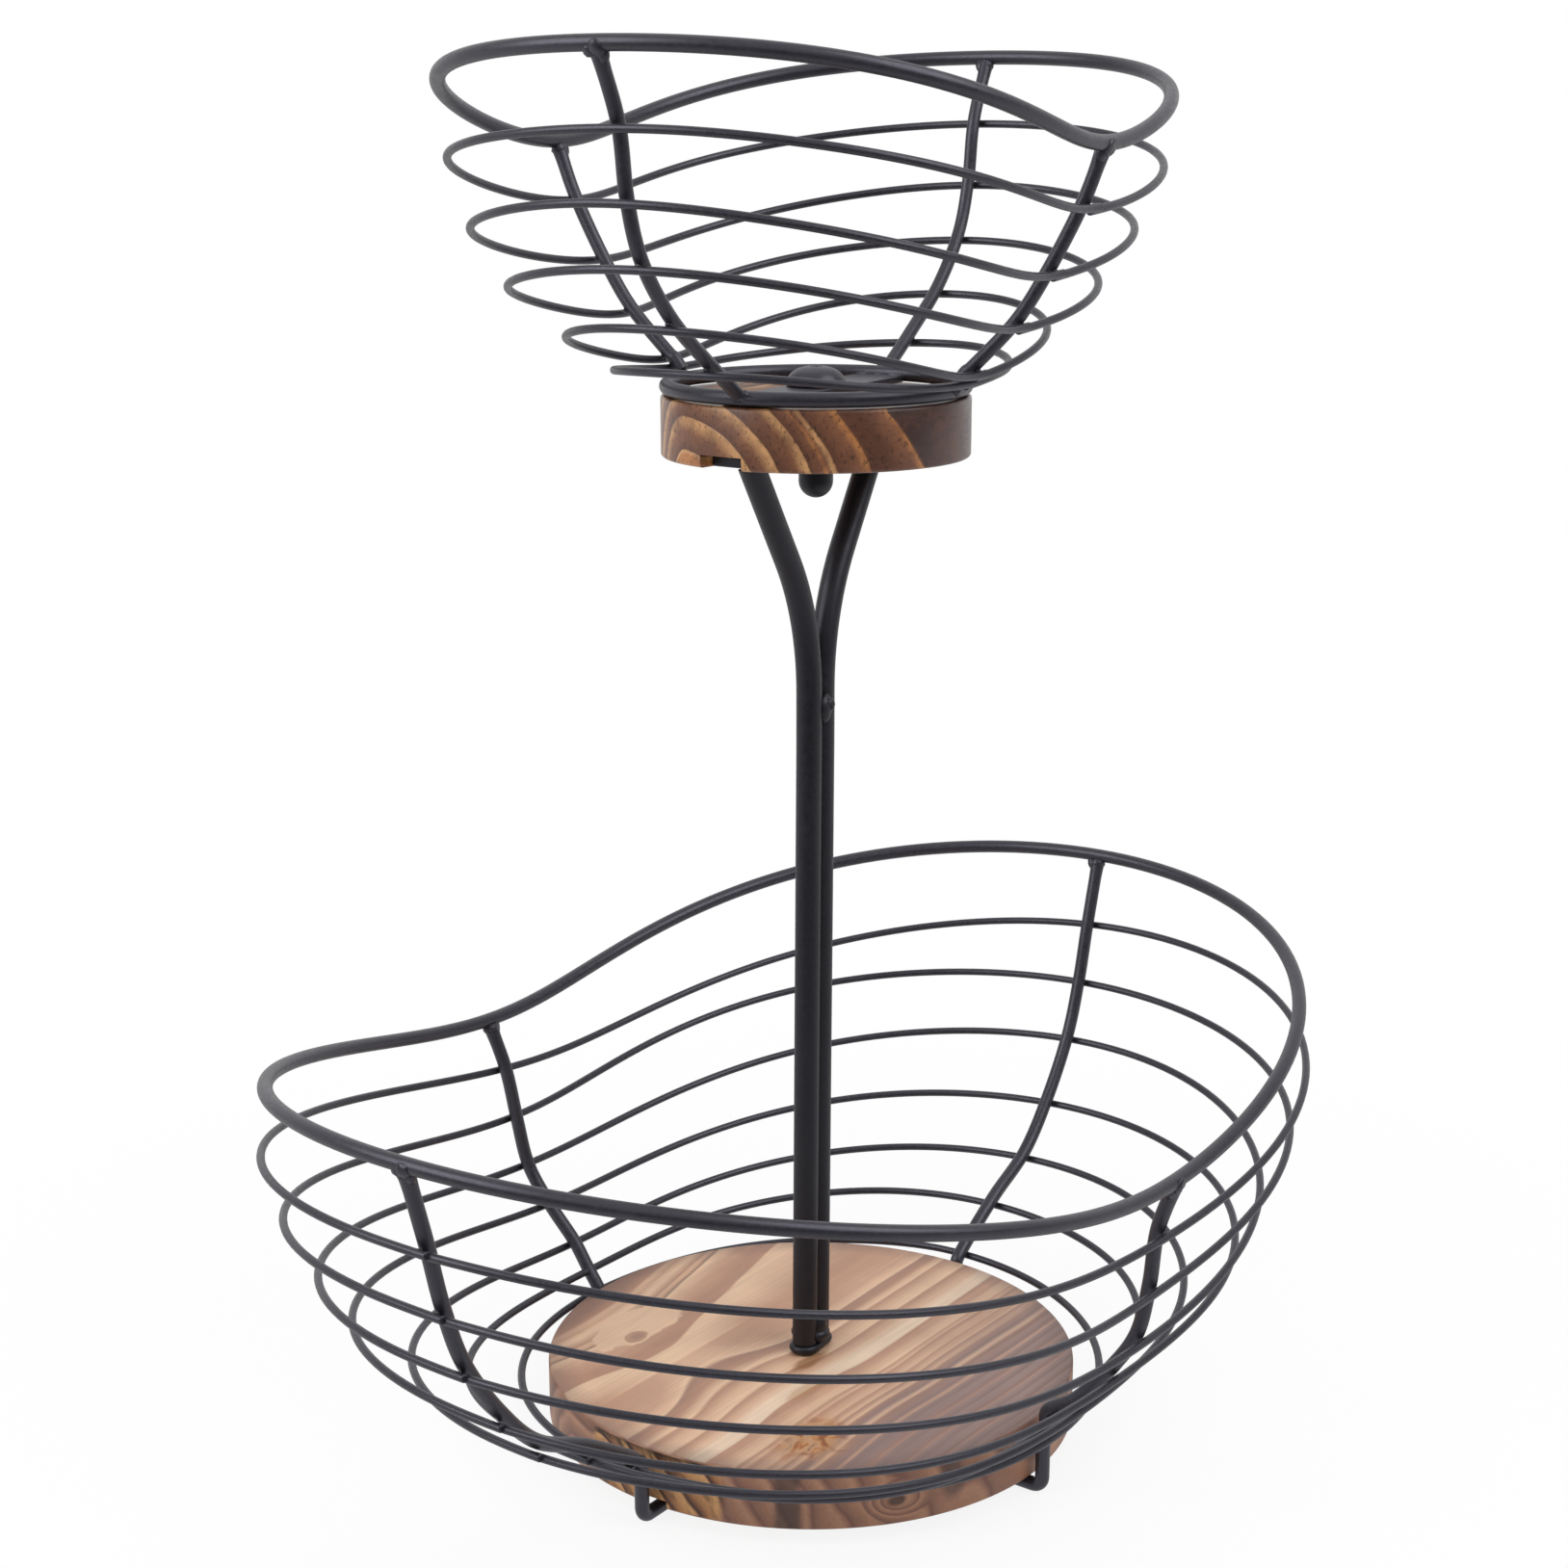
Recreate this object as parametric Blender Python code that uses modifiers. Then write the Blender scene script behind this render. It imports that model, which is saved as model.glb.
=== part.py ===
"""Two-tier wire fruit basket: two black wire baskets, one above the other, on wooden discs and a forked post.

Metres, +Z up. The origin is on the table under the post's axis. The long side of the lower basket lies along X.
"""

from collections import namedtuple
from math import cos, pi, radians, sin, sqrt, tau

import bmesh
import bpy
from mathutils import Matrix, Vector

# Stock that the frame is made from, as diameters of round wire and rod
RIM_WIRE = 0.0040
LOWER_RIB_WIRE = 0.0040
UPPER_RIB_WIRE = 0.0036
LOOP_WIRE = 0.0022
BASE_LOOP_WIRE = 0.0040
POST_ROD = 0.0070

# Space left between two pieces that touch, and how far a cut runs past the face it opens
TOUCH_GAP = 0.0003
CUT_OVERRUN = 0.002

# Lower basket: the rim's reach from the post's axis and its height, at the long ends and at the short sides
LOWER_LONG_REACH = 0.1642
LOWER_SHORT_REACH = 0.1145
LOWER_HIGH = 0.1300
LOWER_LOW = 0.0985

# Upper basket, whose long side is turned a little from that of the lower one
UPPER_LONG_REACH = 0.1035
UPPER_SHORT_REACH = 0.0803
UPPER_HIGH = 0.3800
UPPER_LOW = 0.3575
UPPER_TURN = radians(6.2)

# Wooden discs
LOWER_DISC_RADIUS = 0.0750
LOWER_DISC_THICKNESS = 0.0167
UPPER_DISC_RADIUS = 0.0410
UPPER_DISC_THICKNESS = 0.0160
UPPER_DISC_UNDERSIDE = 0.2768
DISC_EDGE_ROUNDING = 0.0008

# Flat steel bars let into grooves under the discs, and the strap on top of the upper disc
LOWER_BAR_LENGTH = 0.1160
LOWER_BAR_WIDTH = 0.0100
LOWER_BAR_THICKNESS = 0.0020
LOWER_GROOVE_DEPTH = 0.0025
UPPER_BAR_LENGTH = 0.0720
UPPER_BAR_WIDTH = 0.0126
UPPER_BAR_THICKNESS = 0.0030
UPPER_GROOVE_DEPTH = 0.0034
GROOVE_SIDE_GAP = 0.0003
STRAP_WIDTH = 0.0145
STRAP_THICKNESS = 0.0018

# Feet: each lower rib runs down past the disc, bends at the table and hooks under the disc
LEG_CLEARANCE = 0.0015
FOOT_BEND_RADIUS = 0.0029
HOOK_LENGTH = 0.0250
BACK_RIB_TURN = radians(3.0)
FRONT_RIB_TURN = radians(-2.0)

# Post: two rods side by side that part into a fork
FORK_START_HEIGHT = 0.2165
FORK_BEND_RADIUS = 0.0650
FORK_ANGLE = radians(34.5)
POST_FOOT_MARGIN = 0.0009
POST_FOOT_THICKNESS = 0.0025
WELD_BEAD_WIDTH = 0.0029
WELD_BEAD_LENGTH = 0.0064
FORK_WELD_HEIGHT = 0.2105

# Screws and nuts
STUD_DIAMETER = 0.0060
STUD_END_HEIGHT = 0.0006
NUT_WIDTH = 0.0100
NUT_THICKNESS = 0.0028
BOLT_DIAMETER = 0.0050
BOLT_HEAD_DIAMETER = 0.0160
BOLT_HEAD_HEIGHT = 0.0049
BOLT_SOCKET_WIDTH = 0.0030
BOLT_SOCKET_DEPTH = 0.0014
BOLT_REACH_IN_NUT = 0.0070
CAP_NUT_DIAMETER = 0.0092
CAP_NUT_HEIGHT = 0.0112
CAP_NUT_BORE_DEPTH = 0.0080
BORE_CLEARANCE = 0.0003

# Counts
LOOP_POINTS = 36
RIB_STEPS = 3
BEND_STEPS = 4
DISC_SIDES = 64
TURNED_SIDES = 32
BORE_SIDES = 24

# A loop's place, as shares of the way from the foot of the basket out and up to its rim: its reach at the long
# ends and at the short sides, and its height at both. Bulge and lift say how much further out and up it runs halfway
# between them, as shares of its mean reach and of the rim's rise. Sag is how far it has slid down and in on two of
# its four rounded corners, as a share of its mean reach.
Loop = namedtuple("Loop", "long_reach short_reach high low bulge lift sag")

LOWER_LOOP_SHARES = (
    Loop(1.00, 1.00, 1.00, 1.00, 0.023, 0.012, 0.000),
    Loop(0.96, 0.93, 0.805, 0.81, 0.020, 0.000, 0.045),
    Loop(0.90, 0.87, 0.65, 0.63, 0.050, 0.008, 0.012),
    Loop(0.815, 0.78, 0.50, 0.455, 0.018, 0.000, 0.020),
    Loop(0.66, 0.56, 0.345, 0.316, 0.040, 0.000, 0.026),
    Loop(0.485, 0.28, 0.224, 0.19, 0.027, 0.000, 0.015),
    Loop(0.25, 0.02, 0.144, 0.122, 0.045, -0.006, 0.005),
    Loop(0.025, 0.00, 0.056, 0.060, 0.000, 0.000, 0.000),
)

UPPER_LOOP_SHARES = (
    Loop(1.00, 1.00, 1.00, 1.00, 0.060, 0.034, 0.000),
    Loop(0.91, 0.93, 0.78, 0.745, 0.088, 0.019, 0.005),
    Loop(0.86, 0.72, 0.58, 0.487, 0.075, 0.000, 0.020),
    Loop(0.76, 0.50, 0.40, 0.268, 0.070, 0.000, 0.010),
    Loop(0.55, 0.21, 0.228, 0.075, 0.035, 0.000, 0.030),
    Loop(0.27, 0.14, 0.083, 0.040, 0.035, 0.000, 0.025),
)

# Profile of a screw's domed head, as shares of its radius and height, from the crown to the edge
DOME_SHARES = ((0.0, 1.0), (0.28, 0.985), (0.5, 0.92), (0.7, 0.78), (0.86, 0.56), (0.96, 0.28), (1.0, 0.12))

# Sides of a wire's eight-sided section, and its half height when a flat side faces down
WIRE_RESOLUTION = 2
WIRE_SECTION_SIDES = 8
ROD_RESOLUTION = 4
FLAT_SHARE = cos(pi / WIRE_SECTION_SIDES)

# Where the ribs stand round each basket, from its long side
UPPER_RIB_ANGLES = {"right": 0.0, "back": pi / 2, "left": pi, "front": 3 * pi / 2}
LOWER_RIB_ANGLES = {
    "right": 0.0,
    "back": pi / 2 + BACK_RIB_TURN,
    "left": pi,
    "front": 3 * pi / 2 + FRONT_RIB_TURN,
}

# Heights and reaches that follow from the sizes above
HOOK_HEIGHT = LOWER_RIB_WIRE / 2 * FLAT_SHARE
LOWER_DISC_UNDERSIDE = 2 * HOOK_HEIGHT + TOUCH_GAP
LOWER_DISC_TOP = LOWER_DISC_UNDERSIDE + LOWER_DISC_THICKNESS
LOWER_BAR_TOP = LOWER_DISC_UNDERSIDE + LOWER_GROOVE_DEPTH - TOUCH_GAP
LOWER_BAR_UNDERSIDE = LOWER_BAR_TOP - LOWER_BAR_THICKNESS
LEG_REACH = LOWER_DISC_RADIUS + LEG_CLEARANCE + LOWER_RIB_WIRE / 2
UPPER_DISC_TOP = UPPER_DISC_UNDERSIDE + UPPER_DISC_THICKNESS
UPPER_BAR_TOP = UPPER_DISC_UNDERSIDE + UPPER_GROOVE_DEPTH - TOUCH_GAP
UPPER_BAR_UNDERSIDE = UPPER_BAR_TOP - UPPER_BAR_THICKNESS
BASE_LOOP_REACH = UPPER_DISC_RADIUS - BASE_LOOP_WIRE / 2 + TOUCH_GAP
BASE_LOOP_HEIGHT = UPPER_DISC_TOP + TOUCH_GAP + BASE_LOOP_WIRE / 2
STRAP_TOP = UPPER_DISC_TOP + TOUCH_GAP + STRAP_THICKNESS
POST_FOOT_TOP = LOWER_DISC_TOP + TOUCH_GAP + POST_FOOT_THICKNESS
ROD_OFFSET = (POST_ROD + TOUCH_GAP) / 2

# One basket: where its loops' shares start, at the foot, and where they end, at the rim
Basket = namedtuple("Basket", "turn foot_reach foot_height long_reach short_reach high low rib_wire")
LOWER = Basket(
    0.0,
    LEG_REACH + (LOWER_RIB_WIRE + LOOP_WIRE) / 2 + TOUCH_GAP,
    (LOWER_DISC_UNDERSIDE + LOWER_DISC_TOP) / 2,
    LOWER_LONG_REACH,
    LOWER_SHORT_REACH,
    LOWER_HIGH,
    LOWER_LOW,
    LOWER_RIB_WIRE,
)
UPPER = Basket(
    UPPER_TURN,
    BASE_LOOP_REACH,
    BASE_LOOP_HEIGHT,
    UPPER_LONG_REACH,
    UPPER_SHORT_REACH,
    UPPER_HIGH,
    UPPER_LOW,
    UPPER_RIB_WIRE,
)


# Scene, collections and materials


def clear_scene():
    for item in list(bpy.data.objects):
        bpy.data.objects.remove(item, do_unlink=True)


def new_collection(name):
    collection = bpy.data.collections.new(name)
    bpy.context.scene.collection.children.link(collection)
    return collection


def new_material(name, colour, roughness, metallic):
    material = bpy.data.materials.new(name)
    material.use_nodes = True
    shader = material.node_tree.nodes["Principled BSDF"]
    shader.inputs["Base Color"].default_value = (*colour, 1)
    shader.inputs["Roughness"].default_value = roughness
    shader.inputs["Metallic"].default_value = metallic
    return material


def powder_coat():
    """Satin black powder coat on the wires."""
    return new_material("black_powder_coat", (0.030, 0.029, 0.034), 0.42, 0.1)


def post_coat():
    """The same coat on the post, a little deeper."""
    return new_material("black_powder_coat_post", (0.022, 0.022, 0.024), 0.38, 0.1)


def screw_coat():
    """Black screws and nuts."""
    return new_material("black_screw_coat", (0.025, 0.025, 0.028), 0.34, 0.3)


def tray_wood():
    """Pale striped softwood of the lower disc."""
    return new_material("pine_tray", (0.56, 0.38, 0.25), 0.55, 0.0)


def block_wood():
    """Varnished brown softwood of the upper disc."""
    return new_material("burnt_pine_block", (0.20, 0.075, 0.030), 0.28, 0.0)


# Ways of making a piece


def place_in(collection, name, data, material):
    item = bpy.data.objects.new(name, data)
    collection.objects.link(item)
    data.materials.clear()
    data.materials.append(material)
    return item


def adopt(item, collection, name, material):
    """Moves the primitive just made to its collection, under its own name and material."""
    for owner in list(item.users_collection):
        owner.objects.unlink(item)
    collection.objects.link(item)
    item.name = name
    item.data.name = name
    item.data.materials.clear()
    if material:
        item.data.materials.append(material)
    return item


def smooth_shading(mesh):
    mesh.shade_smooth()
    mesh.set_sharp_from_angle(angle=radians(35))


def wire(name, points, diameter, material, closed=False, roll=0.0, resolution=WIRE_RESOLUTION):
    """A round wire along its centre line."""
    curve = bpy.data.curves.new(name, "CURVE")
    curve.dimensions = "3D"
    curve.bevel_depth = diameter / 2
    curve.bevel_resolution = resolution
    curve.use_fill_caps = True
    spline = curve.splines.new("POLY")
    spline.points.add(len(points) - 1)
    for point, place in zip(spline.points, points):
        point.co = (*place, 1)
        point.tilt = roll
    spline.use_cyclic_u = closed
    spline.use_smooth = True
    return place_in(PARTS, name, curve, material)


def as_mesh(item):
    """Replaces a curve object with its mesh, so that it can be cut."""
    mesh = bpy.data.meshes.new_from_object(item.evaluated_get(bpy.context.evaluated_depsgraph_get()))
    shell = bmesh.new()
    shell.from_mesh(mesh)
    bmesh.ops.remove_doubles(shell, verts=shell.verts, dist=TOUCH_GAP / 10)
    bmesh.ops.recalc_face_normals(shell, faces=shell.faces)
    shell.to_mesh(mesh)
    shell.free()
    name = item.name
    placed = item.matrix_world.copy()
    bpy.data.objects.remove(item)
    mesh.name = name
    meshed = bpy.data.objects.new(name, mesh)
    meshed.matrix_world = placed
    PARTS.objects.link(meshed)
    smooth_shading(mesh)
    return meshed


def cylinder(name, radius, bottom, top, material, sides, collection=None):
    bpy.ops.mesh.primitive_cylinder_add(
        vertices=sides,
        radius=radius,
        depth=top - bottom,
        location=(0, 0, (bottom + top) / 2),
    )
    item = adopt(bpy.context.object, collection or PARTS, name, material)
    smooth_shading(item.data)
    return item


def block(name, length, width, bottom, top, material, turn=0.0, collection=None):
    """A flat rectangular piece centred on the post's axis."""
    bpy.ops.mesh.primitive_cube_add(size=1, location=(0, 0, (bottom + top) / 2), rotation=(0, 0, turn))
    item = adopt(bpy.context.object, collection or PARTS, name, material)
    item.data.transform(Matrix.Diagonal((length, width, top - bottom, 1)))
    return item


def turned(name, profile, material):
    """A turned piece from the (radius, height) points of its outer side, top to bottom."""
    mesh = bpy.data.meshes.new(name)
    points = [(radius, 0, height) for radius, height in profile]
    mesh.from_pydata(points, [(i, i + 1) for i in range(len(points) - 1)], [])
    item = place_in(PARTS, name, mesh, material)
    turn = item.modifiers.new("turn", "SCREW")
    turn.angle = tau
    turn.steps = TURNED_SIDES
    turn.render_steps = TURNED_SIDES
    turn.use_merge_vertices = True
    turn.merge_threshold = TOUCH_GAP / 10
    turn.use_smooth_shade = True
    return item


def cut(item, cutter):
    cutter.hide_render = True
    cutter.display_type = "WIRE"
    change = item.modifiers.new("cut_" + cutter.name, "BOOLEAN")
    change.operation = "DIFFERENCE"
    change.solver = "EXACT"
    change.object = cutter


def bore(item, diameter, bottom, top):
    """A round hole on the post's axis, from one height to another, past both faces."""
    radius = diameter / 2 + BORE_CLEARANCE
    drill = cylinder(
        item.name + "_bore",
        radius,
        bottom - CUT_OVERRUN,
        top + CUT_OVERRUN,
        None,
        BORE_SIDES,
        CUTTERS,
    )
    cut(item, drill)


# Centre lines of the basket's wires


def between(start, end, share):
    return start + (end - start) * share


def loop_place(basket, loop, angle):
    """Reach and height of a loop at an angle from the basket's long side."""
    long_reach = between(basket.foot_reach, basket.long_reach, loop.long_reach)
    short_reach = between(basket.foot_reach, basket.short_reach, loop.short_reach)
    high = between(basket.foot_height, basket.high, loop.high)
    low = between(basket.foot_height, basket.low, loop.low)
    mean_reach = (long_reach + short_reach) / 2
    mean_height = (high + low) / 2
    rise = basket.high - basket.foot_height
    halfway = (1 - cos(4 * angle)) / 2
    slide = loop.sag * mean_reach * sin(2 * angle)
    reach = mean_reach * (1 + loop.bulge * halfway) + (long_reach - short_reach) / 2 * cos(2 * angle) - slide
    height = mean_height + loop.lift * rise * halfway + (high - low) / 2 * cos(2 * angle) - slide / 2
    return Vector((reach, height))


def stand(place, angle):
    """The point in space at a reach and height, at an angle round the post."""
    return Vector((place.x * cos(angle), place.x * sin(angle), place.y))


def loop_line(basket, loop):
    angles = [tau * i / LOOP_POINTS for i in range(LOOP_POINTS)]
    return [stand(loop_place(basket, loop, angle), angle + basket.turn) for angle in angles]


def smooth_line(points, steps):
    """A smooth line through the points."""
    ends = [2 * points[0] - points[1], *points, 2 * points[-1] - points[-2]]
    line = []
    for before, start, end, after in zip(ends, ends[1:], ends[2:], ends[3:]):
        for step in range(steps):
            t = step / steps
            leaving = (end - before) / 2
            arriving = (after - start) / 2
            line.append(
                start
                + leaving * t
                + (3 * (end - start) - 2 * leaving - arriving) * t**2
                + (2 * (start - end) + leaving + arriving) * t**3
            )
    line.append(points[-1])
    return line


def arc(centre, radius, start, end, steps):
    """Points on an arc between two directions."""
    turns = [between(start, end, step / steps) for step in range(steps + 1)]
    return [centre + radius * Vector((cos(turn), sin(turn))) for turn in turns]


def rib_touch_places(basket, loops, angle):
    """Where a rib's centre line passes inside each loop below the rim, and its top end under the rim."""
    outline = [loop_place(basket, loop, angle) for loop in loops]
    foot = Vector((basket.foot_reach, basket.foot_height))
    if (outline[-1] - foot).length > basket.rib_wire:
        outline.append(foot)
    else:
        outline.append(outline[-1] - Vector((0, basket.rib_wire)))
    spacing = (basket.rib_wire + LOOP_WIRE) / 2 + TOUCH_GAP
    places = []
    for above, here, below in zip(outline, outline[1:], outline[2:]):
        along = (below - above).normalized()
        outward = Vector((-along.y, along.x))
        places.append(here - outward * spacing)
    down = (places[0] - outline[0]).normalized()
    return [outline[0] + down * (RIM_WIRE / 2 + TOUCH_GAP), *places]


def lower_rib_line(angle):
    """Down inside the loops, down the leg beside the disc, round the foot and in under the disc."""
    places = rib_touch_places(LOWER, LOWER_LOOP_SHARES, angle)
    leg_top = Vector((LEG_REACH, (LOWER_DISC_UNDERSIDE + LOWER_DISC_TOP) / 2))
    line = smooth_line([*places, leg_top], RIB_STEPS)
    centre = Vector((LEG_REACH - FOOT_BEND_RADIUS, HOOK_HEIGHT + FOOT_BEND_RADIUS))
    line += arc(centre, FOOT_BEND_RADIUS, 0, -pi / 2, BEND_STEPS)
    line.append(Vector((LEG_REACH - HOOK_LENGTH, HOOK_HEIGHT)))
    return [stand(place, angle + LOWER.turn) for place in line]


def upper_rib_line(angle):
    """Down inside the loops to the base loop, which its end meets from above and outside."""
    places = rib_touch_places(UPPER, UPPER_LOOP_SHARES, angle)
    base = Vector((BASE_LOOP_REACH, BASE_LOOP_HEIGHT))
    to_rib = (places[-1] - base).normalized()
    end = base + to_rib * (BASE_LOOP_WIRE / 2 + TOUCH_GAP)
    return [stand(place, angle + UPPER.turn) for place in smooth_line([*places, end], RIB_STEPS)]


def post_rod_line(side):
    """Straight up beside the other rod, then out along one arm of the fork."""
    foot = Vector((ROD_OFFSET, POST_FOOT_TOP + TOUCH_GAP))
    centre = Vector((ROD_OFFSET + FORK_BEND_RADIUS, FORK_START_HEIGHT))
    line = [foot, *arc(centre, FORK_BEND_RADIUS, pi, pi - FORK_ANGLE, BEND_STEPS)]
    slope = Vector((sin(FORK_ANGLE), cos(FORK_ANGLE)))
    rise = UPPER_BAR_UNDERSIDE + POST_ROD - line[-1].y
    line.append(line[-1] + slope * (rise / slope.y))
    return [stand(place, UPPER_TURN + side) for place in line]


# Lower tier


def lower_rim(coat):
    wire("lower_rim", loop_line(LOWER, LOWER_LOOP_SHARES[0]), RIM_WIRE, coat, closed=True)


def lower_loops(coat):
    for number, loop in enumerate(LOWER_LOOP_SHARES[1:], 1):
        wire(f"lower_loop_{number}", loop_line(LOWER, loop), LOOP_WIRE, coat, closed=True)


def lower_ribs(coat):
    for side, angle in LOWER_RIB_ANGLES.items():
        wire(f"lower_rib_{side}", lower_rib_line(angle), LOWER_RIB_WIRE, coat, roll=pi / WIRE_SECTION_SIDES)


def disc(name, radius, underside, thickness, groove_width, groove_depth, turn, hole, wood):
    """A round board with rounded edges, a groove across its underside and a hole for its screw."""
    top = underside + thickness
    board = cylinder(name, radius, underside, top, wood, DISC_SIDES)
    edge = board.modifiers.new("edge", "BEVEL")
    edge.width = DISC_EDGE_ROUNDING
    edge.segments = 2
    edge.limit_method = "ANGLE"
    groove = block(
        name + "_groove",
        2 * (radius + CUT_OVERRUN),
        groove_width,
        underside - CUT_OVERRUN,
        underside + groove_depth,
        None,
        turn,
        CUTTERS,
    )
    cut(board, groove)
    bore(board, hole, underside, top)


def lower_disc(wood):
    disc(
        "lower_disc",
        LOWER_DISC_RADIUS,
        LOWER_DISC_UNDERSIDE,
        LOWER_DISC_THICKNESS,
        LOWER_BAR_WIDTH + 2 * GROOVE_SIDE_GAP,
        LOWER_GROOVE_DEPTH,
        0.0,
        STUD_DIAMETER,
        wood,
    )


def lower_bar(coat):
    """Flat bar under the disc, with the left and right ribs' hooks welded under its ends."""
    bar = block("lower_bar", LOWER_BAR_LENGTH, LOWER_BAR_WIDTH, LOWER_BAR_UNDERSIDE, LOWER_BAR_TOP, coat)
    bore(bar, STUD_DIAMETER, LOWER_BAR_UNDERSIDE, LOWER_BAR_TOP)


def lower_nut(coat):
    """Thin hexagon nut on the stud."""
    top = LOWER_BAR_UNDERSIDE - TOUCH_GAP
    nut = cylinder("lower_nut", NUT_WIDTH / 2 / cos(pi / 6), top - NUT_THICKNESS, top, coat, 6)
    bore(nut, STUD_DIAMETER, top - NUT_THICKNESS, top)


# Post


def post_stud(coat):
    """Threaded stud from the post's foot down through the lower disc."""
    cylinder(
        "post_stud",
        STUD_DIAMETER / 2,
        STUD_END_HEIGHT,
        LOWER_DISC_TOP,
        coat,
        BORE_SIDES,
    )


def post_foot(coat):
    """Oval plate under both rods."""
    outline = bpy.data.curves.new("post_foot", "CURVE")
    outline.dimensions = "2D"
    outline.fill_mode = "BOTH"
    outline.extrude = POST_FOOT_THICKNESS / 2
    end_radius = POST_ROD / 2 + POST_FOOT_MARGIN
    points = []
    for direction in (1, -1):
        centre = Vector((direction * ROD_OFFSET, 0))
        quarter = pi / 2 * direction
        points += arc(centre, end_radius, -quarter, pi - quarter, 2 * BEND_STEPS)
    spline = outline.splines.new("POLY")
    spline.points.add(len(points) - 1)
    for point, place in zip(spline.points, points):
        point.co = (place.x, place.y, 0, 1)
    spline.use_cyclic_u = True
    plate = place_in(PARTS, "post_foot", outline, coat)
    plate.location.z = POST_FOOT_TOP - POST_FOOT_THICKNESS / 2
    plate.rotation_euler.z = UPPER_TURN


def post_rods(coat):
    """Both rods, cut level under the upper bar."""
    end = UPPER_BAR_UNDERSIDE - TOUCH_GAP
    for side, turn in (("right", 0.0), ("left", pi)):
        rod = as_mesh(
            wire(f"post_rod_{side}", post_rod_line(turn), POST_ROD, coat, resolution=ROD_RESOLUTION)
        )
        span = 2 * UPPER_DISC_RADIUS
        above = block(f"post_rod_{side}_end", span, span, end, end + 2 * POST_ROD, None, 0.0, CUTTERS)
        cut(rod, above)


def weld_bead(name, height, side, coat):
    """A bead in the valley between the two rods."""
    bpy.ops.mesh.primitive_uv_sphere_add(segments=12, ring_count=8, radius=1)
    bead = adopt(bpy.context.object, PARTS, name, coat)
    bead.data.transform(Matrix.Diagonal((WELD_BEAD_WIDTH / 2, WELD_BEAD_WIDTH / 2, WELD_BEAD_LENGTH / 2, 1)))
    smooth_shading(bead.data)
    to_rod = (POST_ROD + WELD_BEAD_WIDTH) / 2 + TOUCH_GAP
    out = sqrt(to_rod**2 - ROD_OFFSET**2)
    bead.location = stand(Vector((out, height)), UPPER_TURN + side)


def post_welds(coat):
    foot_height = POST_FOOT_TOP + TOUCH_GAP + WELD_BEAD_LENGTH / 2
    for side, turn in (("front", -pi / 2), ("back", pi / 2)):
        weld_bead(f"post_weld_foot_{side}", foot_height, turn, coat)
        weld_bead(f"post_weld_fork_{side}", FORK_WELD_HEIGHT, turn, coat)


# Upper tier


def upper_disc(wood):
    disc(
        "upper_disc",
        UPPER_DISC_RADIUS,
        UPPER_DISC_UNDERSIDE,
        UPPER_DISC_THICKNESS,
        UPPER_BAR_WIDTH + 2 * GROOVE_SIDE_GAP,
        UPPER_GROOVE_DEPTH,
        UPPER_TURN,
        BOLT_DIAMETER,
        wood,
    )


def upper_bar(coat):
    """Flat bar under the disc, welded across the fork's ends."""
    bar = block(
        "upper_bar",
        UPPER_BAR_LENGTH,
        UPPER_BAR_WIDTH,
        UPPER_BAR_UNDERSIDE,
        UPPER_BAR_TOP,
        coat,
        UPPER_TURN,
    )
    bore(bar, BOLT_DIAMETER, UPPER_BAR_UNDERSIDE, UPPER_BAR_TOP)


def upper_strap(coat):
    """Flat strap across the base loop, under the bolt's head."""
    inside = BASE_LOOP_REACH - BASE_LOOP_WIRE / 2 - TOUCH_GAP
    half_length = sqrt(inside**2 - (STRAP_WIDTH / 2) ** 2)
    bottom = STRAP_TOP - STRAP_THICKNESS
    strap = block("upper_strap", 2 * half_length, STRAP_WIDTH, bottom, STRAP_TOP, coat, UPPER_TURN)
    bore(strap, BOLT_DIAMETER, bottom, STRAP_TOP)


def upper_bolt(coat):
    """Dome-headed bolt with a hexagon socket, down through the strap, the disc and the bar."""
    seat = STRAP_TOP + TOUCH_GAP
    head_radius = BOLT_HEAD_DIAMETER / 2
    shank_radius = BOLT_DIAMETER / 2
    end = UPPER_BAR_UNDERSIDE - TOUCH_GAP - BOLT_REACH_IN_NUT
    profile = [(head_radius * across, seat + BOLT_HEAD_HEIGHT * up) for across, up in DOME_SHARES]
    profile += [(head_radius, seat), (shank_radius, seat), (shank_radius, end), (0, end)]
    bolt = turned("upper_bolt", profile, coat)
    crown = seat + BOLT_HEAD_HEIGHT
    socket_radius = BOLT_SOCKET_WIDTH / 2 / cos(pi / 6)
    socket = cylinder(
        "upper_bolt_socket",
        socket_radius,
        crown - BOLT_SOCKET_DEPTH,
        crown + CUT_OVERRUN,
        None,
        6,
        CUTTERS,
    )
    cut(bolt, socket)


def upper_cap_nut(coat):
    """Long cap nut with a round end, screwed up against the bar from below."""
    top = UPPER_BAR_UNDERSIDE - TOUCH_GAP
    radius = CAP_NUT_DIAMETER / 2
    bore_radius = BOLT_DIAMETER / 2 + BORE_CLEARANCE
    bore_end = top - CAP_NUT_BORE_DEPTH
    round_centre = Vector((0, top - CAP_NUT_HEIGHT + radius))
    round_end = [tuple(place) for place in arc(round_centre, radius, 0, -pi / 2, 2 * BEND_STEPS)]
    round_end[-1] = (0, top - CAP_NUT_HEIGHT)
    profile = [(0, bore_end), (bore_radius, bore_end), (bore_radius, top), (radius, top), *round_end]
    turned("upper_cap_nut", profile, coat)


def upper_base_loop(coat):
    angles = [tau * i / LOOP_POINTS + UPPER_TURN for i in range(LOOP_POINTS)]
    base = Vector((BASE_LOOP_REACH, BASE_LOOP_HEIGHT))
    wire("upper_base_loop", [stand(base, angle) for angle in angles], BASE_LOOP_WIRE, coat, closed=True)


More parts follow.
